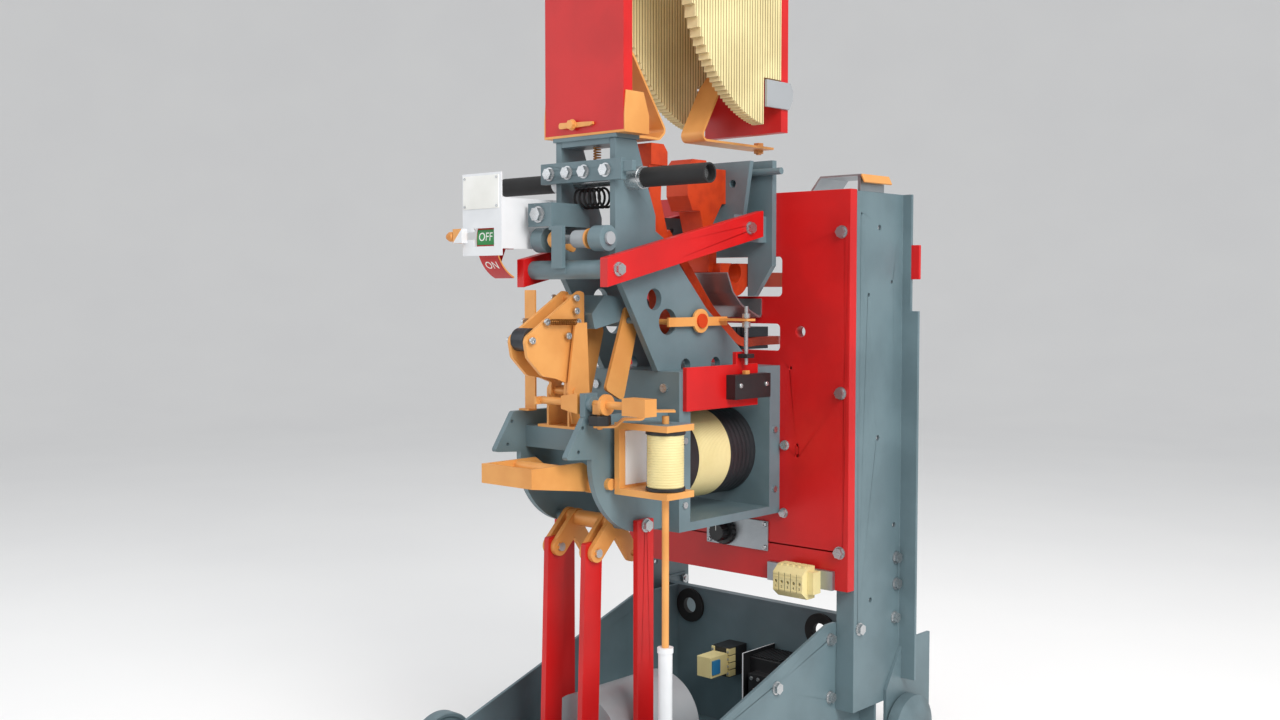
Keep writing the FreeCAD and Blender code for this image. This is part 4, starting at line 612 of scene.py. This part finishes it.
@dataclass
class CarriedNodes:
    """The frame's own nodes, which keep their shape and get their finish and softened edges.

    Attributes:
        workshop: What dresses them.
        finishes: Finishes that differ from the node's material slot.
        edge: Width of the bevel in metres.
        skip: Nodes without a bevel, since a piece replaces them.
    """

    workshop: Workshop
    finishes: Dict[str, str] = field(default_factory=lambda: {
        "splitter_plates": "splitter_stack",
        "closing_solenoid": "pale_paint",
        "indicator_shaft": "pale_paint",
        "indicator_drum": "red_label",
    })
    edge: float = 0.0007
    skip: Tuple[str, ...] = ("flexible_connector",)

    def dress(self) -> None:
        """Give every node its finish, and a narrow bevel on its sharp edges."""
        slots = {s["node"]: s["material_slot"] for s in frame["record"]["subparts"]}
        for name, node in frame["nodes"].items():
            self.workshop.dress(node, self.finishes.get(name, slots[name]))
            if name in self.skip:
                continue
            weld = node.modifiers.new("join", "WELD")
            weld.merge_threshold = SAME_PLACE
            bevel = node.modifiers.new("edges", "BEVEL")
            bevel.width = self.edge
            bevel.segments = 2
            bevel.limit_method = "ANGLE"
            bevel.angle_limit = BEVEL_ABOVE
            shading = node.modifiers.new("shading", "WEIGHTED_NORMAL")
            shading.weight = 100
            shading.keep_sharp = True
            LOG.info("dressed %s", name)
        for patch in PATCHES:
            self._patch(patch)

    def _patch(self, patch: Patch) -> None:
        """Give the faces of a node whose middles lie in a box a finish of their own."""
        mesh = frame["nodes"][patch.node].data
        mesh.materials.append(self.workshop.material(patch.finish))
        middles = np.empty(len(mesh.polygons) * 3)
        mesh.polygons.foreach_get("center", middles)
        middles = middles.reshape(-1, 3)
        low, high = np.array(at(*patch.low)), np.array(at(*patch.high))
        inside = np.all((middles >= low) & (middles <= high), axis=1)
        slots = np.zeros(len(mesh.polygons), dtype=np.int32)
        mesh.polygons.foreach_get("material_index", slots)
        slots[inside] = len(mesh.materials) - 1
        mesh.polygons.foreach_set("material_index", slots)


@dataclass
class Connector:
    """The laminated copper connector between the lower bar and the moving arm.

    Attributes:
        bench: What turns its sheets into a piece.
        leaves: Number of leaves.
        width: Their width in metres.
        stack: Height of the whole stack in metres.
        filling: Share of the stack's height that is metal.
        bulge: How much wider the stack is in the middle of the bend.
        slack: Share of the line over which the leaves stand apart.
    """

    bench: Bench
    leaves: int = 11
    width: float = 0.0396
    stack: float = 0.0156
    filling: float = 0.82
    bulge: float = 0.35
    slack: float = 0.62

    def build(self) -> None:
        """Thin leaves side by side along one line, spread a little in the middle."""
        route = [at(0, -201.3, 945.5), at(0, -137, 873), at(0, -83, 812), at(0, -38, 781),
                 at(0, 4, 756.4), at(0, 60, 756), at(0, 119.5, 756)]
        line = smooth_line(route, 64)
        ahead = np.gradient(line, axis=0)
        ahead /= np.linalg.norm(ahead, axis=1)[:, None]
        normal = np.cross(ahead, np.array([1.0, 0.0, 0.0]))
        thick = self.stack / self.leaves * self.filling
        half = self.width / 2.0
        section = np.array([(-half, -thick / 2), (half, -thick / 2),
                            (half, thick / 2), (-half, thick / 2)])
        along = np.linspace(0.0, 1.0, len(line))
        loose = np.clip(along / self.slack, 0.0, 1.0)
        spread = 1.0 + self.bulge * np.sin(math.pi * loose) ** 2
        sheets = []
        for i in range(self.leaves):
            offset = (i - (self.leaves - 1) / 2.0) * self.stack / self.leaves
            sheets.append(swept(line + normal * (offset * spread)[:, None], section))
        piece = self.bench.piece("laminated_connector", sheets, "copper", body="")
        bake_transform(piece)
        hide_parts("flexible_connector")


@dataclass
class Coils:
    """The wound parts: the holding coil with its taped ends, and the trip coil.

    Attributes:
        bench: What turns the sheets into pieces.
        turns: Turns along the holding coil.
        rear_turns: Turns of tape on its rear end.
        trip_turns: Turns along the trip coil.
        bore: Radius of the holding coil's bore.
        trip_bore: Radius of the trip coil's bore.
        trip_ring: Thickness of its rings.
        trip_lip: How far the rings stand over its winding.
        groove: Depth of the groove between two turns.
        rim: Width of the chamfers.
        round_points: Points round the circle of a winding.
    """

    bench: Bench
    turns: int = 24
    rear_turns: int = 6
    trip_turns: int = 20
    bore: float = 0.036
    trip_bore: float = 0.0182
    trip_ring: float = 0.006
    trip_lip: float = 0.002
    groove: float = 0.0006
    rim: float = 0.001
    round_points: int = 72

    def _wound(self, base: Point, axis: Point, length: float, bore: float, radius: float,
               turns: int) -> Sheet:
        """A drum with a row of turns: its radius falls by the groove times a cosine squared.

        Args:
            base: Middle of its first end.
            axis: Direction of its axis.
            length: Its length.
            bore: Radius of its bore.
            radius: Radius over the turns.
            turns: Number of turns.

        Returns:
            The drum.
        """
        place = np.linspace(0.0, length, turns * 6 + 1)
        ripple = radius - self.groove * np.cos(math.pi * turns * place / length) ** 2
        profile = [(0.0, bore), *zip(place.tolist(), ripple.tolist()), (length, bore)]
        return turned(profile, base, axis, self.round_points)

    def build(self) -> None:
        """Both windings, the holding coil's black ends and the trip coil's rings."""
        self._holding_coil()
        self._trip_coil()

    def _holding_coil(self) -> None:
        """The winding inside the magnet, its front flange and its taped rear end."""
        low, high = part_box("coil_winding")
        ends_low, ends_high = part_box("coil_flanges")
        radius = (high[0] - low[0]) / 2
        lip = (ends_high[0] - ends_low[0]) / 2
        x = (low[0] + high[0]) / 2
        z = (low[2] + high[2]) / 2
        wound = self._wound((x, low[1], z), (0, 1, 0), high[1] - low[1], self.bore, radius,
                            self.turns)
        piece = self.bench.piece("holding_winding", [wound], "cream_insulation")
        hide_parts("coil_winding")
        front = low[1] - ends_low[1]
        rim = self.rim
        profile = [(0, self.bore), (0, lip - rim), (rim, lip), (0.015, lip), (0.016, lip - rim),
                   (0.0162, radius), (front - rim, radius), (front, radius - rim),
                   (front, self.bore)]
        flange = turned(profile, (x, ends_low[1], z), (0, 1, 0), self.round_points)
        rear = self._wound((x, high[1], z), (0, 1, 0), ends_high[1] - high[1], self.bore, radius,
                           self.rear_turns)
        piece = self.bench.piece("taped_coil_ends", [flange, rear], "coil_tape")
        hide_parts("coil_flanges")

    def _trip_coil(self) -> None:
        """The small winding between its two black rings."""
        low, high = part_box("trip_coil")
        axis = ((low[0] + high[0]) / 2, (low[1] + high[1]) / 2)
        radius = (high[0] - low[0]) / 2
        bore, ring, rim = self.trip_bore, self.trip_ring, self.rim
        profile = [(0, bore), (0, radius - rim), (rim, radius), (ring - rim, radius),
                   (ring, radius - rim), (ring, bore)]
        ends = [turned(profile, (*axis, z), (0, 0, 1)) for z in (low[2], high[2] - ring)]
        middle = self._wound((*axis, low[2] + ring), (0, 0, 1), high[2] - low[2] - 2 * ring, bore,
                             radius - self.trip_lip, self.trip_turns)
        body = self.bench.piece("trip_winding", [middle], "cream_insulation")
        rings = self.bench.piece("trip_coil_rings", ends, "black_plastic")
        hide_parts("trip_coil")


@dataclass
class Knobs:
    """The knurled catch knob, and the fluted dial with its pointer.

    Attributes:
        bench: What turns the sheets into pieces.
        knurls: Teeth of the catch knob.
        knurl_depth: Their depth as a share of the radius.
        flutes: Teeth of the dial.
        flute_depth: Their depth as a share of the radius.
    """

    bench: Bench
    knurls: int = 30
    knurl_depth: float = 0.06
    flutes: int = 20
    flute_depth: float = 0.05

    def build(self) -> None:
        """Build each knob over its node and replace it."""
        low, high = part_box("catch_knob")
        y = (low[1] + high[1]) / 2
        z = (low[2] + high[2]) / 2
        profile = [(0, 0.0026), (0, 0.0055), (0.004, 0.0055), (0.0048, 0.0078), (0.0055, 0.008),
                   (0.0145, 0.008), (0.0152, 0.0075), (0.016, 0.0052), (0.0176, 0.005),
                   (0.0176, 0.0026)]
        knob = toothed(profile, (low[0], y, z), (1, 0, 0), self.knurls, self.knurl_depth)
        piece = self.bench.piece("knurled_catch", [knob], "orange_chromate", "catch")
        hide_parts("catch_knob")
        low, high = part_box("rheostat_knob")
        x = (low[0] + high[0]) / 2
        z = (low[2] + high[2]) / 2
        profile = [(0, 0.0002), (0, 0.0155), (0.0012, 0.0168), (0.0175, 0.017), (0.0178, 0.0245),
                   (0.0265, 0.026), (0.0265, 0.0002)]
        dial = toothed(profile, (x, low[1], z), (0, 1, 0), self.flutes, self.flute_depth)
        piece = self.bench.piece("fluted_dial", [dial], "black_plastic", "dial")
        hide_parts("rheostat_knob")
        mark = slab((x - 0.0006, low[1] - 0.0001, z + 0.003),
                    (x + 0.0006, low[1] + 0.001, z + 0.0145), 0.0001)
        pointer = self.bench.piece("dial_pointer", mark, "white_plate", "dial")


@dataclass
class Springs:
    """Springs and the coiled lead: wire along an even helix."""

    bench: Bench

    def coil(self, name: str, start: Point, end: Point, radius: float, wire: float, turns: int,
             finish: str, body: str) -> bpy.types.Object:
        """A helix of wire between two points.

        Args:
            name: The piece's name.
            start: One end of its axis.
            end: The other end.
            radius: Mean radius of the turns.
            wire: Radius of the wire.
            turns: Number of turns.
            finish: Name of the finish.
            body: Body that it rides on.

        Returns:
            The piece.
        """
        line = Vector(end) - Vector(start)
        side = line.orthogonal().normalized()
        up = line.normalized().cross(side)
        t = np.linspace(0.0, 1.0, turns * POINTS_PER_TURN)
        angle = 2.0 * math.pi * turns * t
        path = (np.array(start) + t[:, None] * np.array(line)
                + radius * np.cos(angle)[:, None] * np.array(side)
                + radius * np.sin(angle)[:, None] * np.array(up))
        return self.bench.piece(name, [swept(path, circle(8) * wire)], finish, body)

    def build(self) -> None:
        """The small spring in the head, the latch's springs and the coiled lead."""
        spring = self.coil("neck_spring", at(-5, -345, 1049), at(-5, -345, 1079), 0.0055, 0.0012,
                           7, "orange_chromate", TRUCK)
        for side, name in ((1, "right"), (-1, "left")):
            x = side * 29.2
            spring = self.coil(f"latch_spring_{name}", at(x, -484, 800), at(x, -428, 799), 0.0038,
                               0.0011, 14, "bronze_wire", "latch")
        lead = self.coil("coiled_lead", at(-34, -356, 996), at(30, -356, 996), 0.0155, 0.002,
                         6, "black_rubber", TRUCK)


@dataclass
class Lettering:
    """Plain words and numbers as thin raised text.

    Attributes:
        bench: What turns the labels' sheets into pieces.
        workshop: What dresses the text.
        thickness: Half of the text's thickness.
        word_lift: How far the middle of the words stands off the drum.
        label_lift: How far a label stands off the drum.
        label_margin: Bare strip beside a label.
        word_size: Size of the words on the drum.
        number_size: Size of the terminals' numbers.
        label_half: Half of the angle that a label on the drum spans, in degrees.
    """

    bench: Bench
    workshop: Workshop
    thickness: float = 0.00015
    word_lift: float = 0.0006
    label_lift: float = 0.0004
    label_margin: float = 0.002
    word_size: float = 0.019
    number_size: float = 0.006
    label_half: float = 10.5

    def flat(self, name: str, words: str, size: float, finish: str) -> bpy.types.Object:
        """Text as a mesh, flat and centred on the origin.

        Args:
            name: The piece's name.
            words: What it says.
            size: Size of the letters in metres.
            finish: Name of the finish.

        Returns:
            The new object, which rides on nothing yet.
        """
        curve = bpy.data.curves.new(name, "FONT")
        curve.body = words
        curve.size = size
        curve.extrude = self.thickness
        curve.align_x = "CENTER"
        curve.align_y = "CENTER"
        carrier = bpy.data.objects.new(name + "_curve", curve)
        bpy.context.collection.objects.link(carrier)
        bpy.context.view_layer.update()
        graph = bpy.context.evaluated_depsgraph_get()
        mesh = bpy.data.meshes.new_from_object(carrier.evaluated_get(graph))
        bpy.data.objects.remove(carrier)
        made = bpy.data.objects.new(name, mesh)
        bpy.context.collection.objects.link(made)
        self.workshop.dress(made, finish)
        return made

    @staticmethod
    def points(piece: bpy.types.Object) -> np.ndarray:
        """The piece's vertices as rows of x, y, z."""
        flat = np.empty(len(piece.data.vertices) * 3)
        piece.data.vertices.foreach_get("co", flat)
        return flat.reshape(-1, 3)

    def on_drum(self, words: str, degrees: float, finish: str) -> None:
        """Words on the drum over a label: height turns into an angle and depth into radius.

        Args:
            words: What the label says.
            degrees: Where it stands on the drum, up from the front.
            finish: Finish of the label.
        """
        low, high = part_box("indicator_drum")
        _, axis_y, axis_z = at(0, -409, 929)
        radius = axis_y - low[1]
        piece = self.flat(f"drum_{words.lower()}", words, self.word_size, "white_plate")
        text = self.points(piece)
        angle = math.radians(degrees) + text[:, 1] / radius
        out = radius + self.word_lift + text[:, 2]
        middle = (low[0] + high[0]) / 2
        placed = np.stack([middle + text[:, 0], axis_y - out * np.cos(angle),
                           axis_z + out * np.sin(angle)], axis=-1)
        piece.data.vertices.foreach_set("co", placed.ravel())
        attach(piece, "indicator")
        turns = np.radians(np.linspace(degrees - self.label_half, degrees + self.label_half, 16))
        edges = (low[0] + self.label_margin, high[0] - self.label_margin)
        turn, across = np.meshgrid(turns, edges, indexing="ij")
        lift = radius + self.label_lift
        grid = np.stack([across, axis_y - lift * np.cos(turn), axis_z + lift * np.sin(turn)],
                        axis=-1)
        plate = self.bench.piece(f"drum_label_{words.lower()}", [Sheet(grid)], finish, "indicator")

    def on_front(self, name: str, words: str, centre: Point) -> None:
        """Words on a face that looks to the front.

        Args:
            name: The piece's name.
            words: What it says.
            centre: Its middle.
        """
        piece = self.flat(name, words, self.number_size, "black_ink")
        text = self.points(piece)
        placed = np.array(centre) + text[:, [0, 2, 1]] * (1.0, -1.0, 1.0)
        piece.data.vertices.foreach_set("co", placed.ravel())
        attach(piece, TRUCK)

    def build(self) -> None:
        """ON and OFF on the drum, and the terminals' numbers."""
        self.on_drum("OFF", 4.0, "green_label")
        self.on_drum("ON", -37.0, "red_label")
        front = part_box("terminal_blocks")[0][1]
        for i in range(TERMINAL_COUNT):
            centre = (terminal_middle(i) / 1000.0, front - 0.0001, 0.3375)
            self.on_front(f"terminal_number_{i + 1}", str(i + 1), centre)


@dataclass
class SmallTrim:
    """Plates, contact tips, screws and ribs that are fixed on larger pieces."""

    bench: Bench

    def _screws(self, name: str, places: Sequence[Point], axis: Point, radius: float,
                body: str = TRUCK) -> None:
        """Cheese-headed screws with a round recess, all in one piece.

        Args:
            name: The piece's name.
            places: The middle of each head's underside.
            axis: The direction in which the heads stand up.
            radius: Radius of a head.
            body: The body that they ride on.
        """
        top, recess, axle = 0.7 * radius, 0.35 * radius, 0.0002
        profile = [(0, axle), (0, radius), (0.55 * radius, radius), (top, 0.86 * radius),
                   (top, 0.5 * radius), (recess, 0.42 * radius), (recess, axle)]
        sheets = [turned(profile, spot, axis, SCREW_POINTS) for spot in places]
        piece = self.bench.piece(name, sheets, "zinc_fasteners", body)

    def build(self) -> None:
        """Every small fixed piece, from the head down to the base."""
        self._head()
        self._latch()
        self._chute()
        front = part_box("terminal_blocks")[0][1] + 0.0062
        places = [(terminal_middle(i) / 1000.0, front, 0.346) for i in range(TERMINAL_COUNT)]
        self._screws("terminal_screws", places, FORWARD, 0.0028)
        places = [at(x, 0, z) for x in (48, 63, 78) for z in (92, 148)]
        self._screws("contactor_screws", places, FORWARD, 0.0034)
        self._terminal_ribs()
        self._relay_socket()
        label = slab(at(52, -0.8, 110), at(74, 0.0, 130), 0.0003)
        piece = self.bench.piece("contactor_blank_label", label, "white_plate")
        places = [at(x, -3.0, z) for x in (-48, 78) for z in (391, 432)]
        self._screws("dial_plate_screws", places, FORWARD, 0.0045)

    def _head(self) -> None:
        """The blank label, the moving tip's face, the yoke's liner and the switch's screws."""
        plate = slab(at(-176, -481.2, 979), at(-91, -480.0, 1032), 0.0004)
        piece = self.bench.piece("blank_label", plate, "white_plate")
        places = [at(x, -481.2, z) for x in (-172, -95) for z in (983, 1028)]
        self._screws("label_screws", places, FORWARD, 0.0022)
        face = slab(at(-24, -206.0, 1058.0), at(24, -204.8, 1079.0), 0.0003)
        piece = self.bench.piece("moving_tip_face", face, "silver_tip", "contact_arm")
        liner = slab(at(105.1, -398, 548), at(106.6, -350, 632), 0.0003)
        piece = self.bench.piece("yoke_liner", liner, "white_enamel")
        self._screws("switch_screws", [at(136.0, y, 690) for y in (-149, -78)], (1, 0, 0), 0.0042)

    def _latch(self) -> None:
        """The heads of the pins on both cheeks."""
        heads = ((-423, 836.6), (-423, 816.3), (-518, 772.1), (-441, 777.7), (-487, 800),
                 (-420, 799))
        for side, label in SIDES:
            places = [at(side * 24.0, y, z) for y, z in heads]
            self._screws(f"cheek_pins_{label}", places, (side, 0, 0), 0.0056, "latch")

    def _chute(self, margin: float = 0.03, columns: int = 5) -> None:
        """Two rows of screws along each rail, which keep a margin from its ends."""
        low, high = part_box("chute_walls")
        along = np.linspace(low[1] + margin, high[1] - margin, columns)
        for side, label in SIDES:
            places = [(side * high[0], y, z) for y in along for z in (1.558, 1.592)]
            self._screws(f"chute_rail_screws_{label}", places, (side, 0, 0), 0.0042, "chute")

    def _terminal_ribs(self) -> None:
        """Moulded ribs on the row of terminal blocks, and thin black slabs between the blocks as
        painted shade in each gap.
        """
        ribs: List[Sheet] = []
        gap_shade_slabs: List[Sheet] = []
        for i in range(TERMINAL_COUNT):
            left = TERMINAL_LEFT + i * TERMINAL_PITCH
            right = left + TERMINAL_PITCH
            for z in (331.5, 353.0, 358.5):
                ribs += slab(at(left + 1.2, -45.9, z), at(right - 1.2, -44.8, z + 2.4), 0.0003)
            for y in (-26.0, -20.0, -14.0):
                ribs += slab(at(left + 1.2, y, 373.8), at(right - 1.2, y + 3.0, 375.2), 0.0003)
            ribs += slab(at(left + 3.2, -33.5, 371.0), at(right - 3.2, -28.5, 375.0), 0.0003)
            if i:
                # Thin black slabs in the gap between two blocks: painted shade.
                gap_shade_slabs += slab(at(left - 0.35, -45.15, 329.8), at(left + 0.35, -44.0, 362.2), 0.0001)
                gap_shade_slabs += slab(at(left - 0.35, -30.2, 373.0), at(left + 0.35, -9.0, 374.2), 0.0001)
        self.bench.piece("terminal_ribs", ribs, "cream_insulation")
        self.bench.piece("terminal_gap_shade", gap_shade_slabs, "black_ink")

    def _relay_socket(self) -> None:
        """Cream terminal strips with screws beside the relay, and the contactor's fins."""
        strips: List[Sheet] = []
        spots: List[Point] = []
        for x in (-80.6, -45.0):
            for z in (124.0, 137.5, 151.0, 164.5):
                strips += slab(at(x, 43.6, z), at(x + 7.6, 62.0, z + 12.0), 0.0006)
                spots.append(at(x + 3.8, 43.6, z + 6.0))
        self.bench.piece("relay_terminals", strips, "cream_insulation")
        self._screws("relay_terminal_screws", spots, FORWARD, 0.0024)
        fins: List[Sheet] = []
        for x in np.arange(31.0, 96.0, 6.5):
            fins += slab(at(x, 24.0, 179.8), at(x + 3.2, 90.0, 183.0), 0.0004)
        self.bench.piece("contactor_fins", fins, "black_plastic")


@dataclass(frozen=True)
class Lamp:
    """A square area light: its place, power in watts, width and colour."""

    name: str
    place: Point
    power: float
    size: float
    colour: Colour


@dataclass
class Studio:
    """Camera, floor and soft lights.

    Attributes:
        lens: Focal length in millimetres.
        sensor: Width of the sensor in millimetres.
        spot: Where the camera stands.
        tilt: Its tilt up from straight down, in degrees.
        turn: Its turn about the upright axis, in degrees.
        target: What the lights look at.
        lamps: The lights.
        sky: Colour of the room's light.
        sky_strength: Its strength.
        flat_radius: Radius of the level floor.
        rim: Radius of the bend at its edge.
        floor_points: Points round the floor.
        flat_rings: Rings of the level floor.
        bend_rings: Rings of the bend.
    """

    lens: float = 37.87
    sensor: float = 36.0
    spot: Point = field(default_factory=lambda: at(1510.7, -1918.0, 847.3))
    tilt: float = 90.0 - 2.929
    turn: float = 42.128
    target: Point = (0.0, 0.0, 0.75)
    lamps: Tuple[Lamp, ...] = (
        Lamp("key", (2.6, -1.0, 2.5), 88.0, 1.6, (1.0, 0.98, 0.95)),
        Lamp("fill", (-2.2, -2.6, 1.8), 20.0, 2.4, (0.94, 0.97, 1.0)),
        Lamp("top", (0.0, 0.4, 3.4), 38.0, 2.2, (1.0, 1.0, 1.0)),
    )
    sky: Tuple[float, float, float, float] = (0.93, 0.94, 0.96, 1.0)
    sky_strength: float = 0.66
    flat_radius: float = 6.0
    rim: float = 5.0
    floor_points: int = 96
    flat_rings: int = 12
    bend_rings: int = 24

    def build(self) -> None:
        """Set up the whole studio."""
        self._camera()
        for lamp in self.lamps:
            self._light(lamp)
        self._room()
        self._floor()

    def _camera(self) -> None:
        """The camera from which the photograph was taken."""
        data = bpy.data.cameras.new("camera")
        data.lens = self.lens
        data.sensor_width = self.sensor
        data.clip_end = 50.0
        camera = bpy.data.objects.new("camera", data)
        camera.location = self.spot
        camera.rotation_euler = (math.radians(self.tilt), 0.0, math.radians(self.turn))
        bpy.context.collection.objects.link(camera)
        bpy.context.scene.camera = camera

    def _light(self, lamp: Lamp) -> None:
        """One light, turned to the breaker's middle."""
        data = bpy.data.lights.new(lamp.name, "AREA")
        data.energy = lamp.power
        data.size = lamp.size
        data.color = lamp.colour
        made = bpy.data.objects.new(lamp.name, data)
        made.location = lamp.place
        aim = Vector(self.target) - Vector(lamp.place)
        made.rotation_euler = aim.to_track_quat("-Z", "Y").to_euler()
        bpy.context.collection.objects.link(made)

    def _room(self) -> None:
        """Even light from all sides, and plain display colours."""
        scene = bpy.context.scene
        world = bpy.data.worlds.new("room")
        world.use_nodes = True
        back = world.node_tree.nodes["Background"]
        back.inputs["Color"].default_value = self.sky
        back.inputs["Strength"].default_value = self.sky_strength
        scene.world = world
        scene.view_settings.view_transform = "Standard"

    def _floor(self) -> None:
        """A pale round floor whose edge bends up into a wall."""
        flat = np.linspace(0.01, self.flat_radius, self.flat_rings, endpoint=False)
        bend = np.linspace(0.0, math.pi / 2.0, self.bend_rings)
        out = np.concatenate([flat, self.flat_radius + self.rim * np.sin(bend)])
        rise = np.concatenate([np.zeros(len(flat)), self.rim * (1.0 - np.cos(bend))])
        spread = out[:, None, None] * circle(self.floor_points)[None, :, :]
        height = np.broadcast_to(rise[:, None, None], (*spread.shape[:2], 1))
        grid = np.concatenate([spread, height], axis=-1)
        faces = Sheet(grid, wrap_v=True, cap=True).faces()[:-1]
        mesh = bpy.data.meshes.new("floor")
        mesh.from_pydata(grid.reshape(-1, 3).tolist(), [], faces)
        mesh.shade_smooth()
        floor = bpy.data.objects.new("floor", mesh)
        bpy.context.collection.objects.link(floor)
        graph = Graph("studio_floor")
        colour = graph.blend(graph.noise(1.5, 2.0), linear(244, 244, 243), linear(238, 238, 238))
        graph.feed(graph.shader.inputs["Base Color"], colour)
        graph.shader.inputs["Roughness"].default_value = 0.7
        mesh.materials.append(graph.material)


def main() -> None:
    """Build the dressed breaker and its studio in order."""
    logging.basicConfig(level=logging.INFO, format="%(name)s: %(message)s")
    Studio().build()
    workshop = Workshop()
    bench = Bench(workshop)
    CarriedNodes(workshop).dress()
    for assembly in (Connector(bench), Coils(bench), Knobs(bench), Springs(bench),
                     Lettering(bench, workshop), SmallTrim(bench)):
        assembly.build()
        LOG.info("built %s", type(assembly).__name__)


if __name__ == "__main__":
    main()
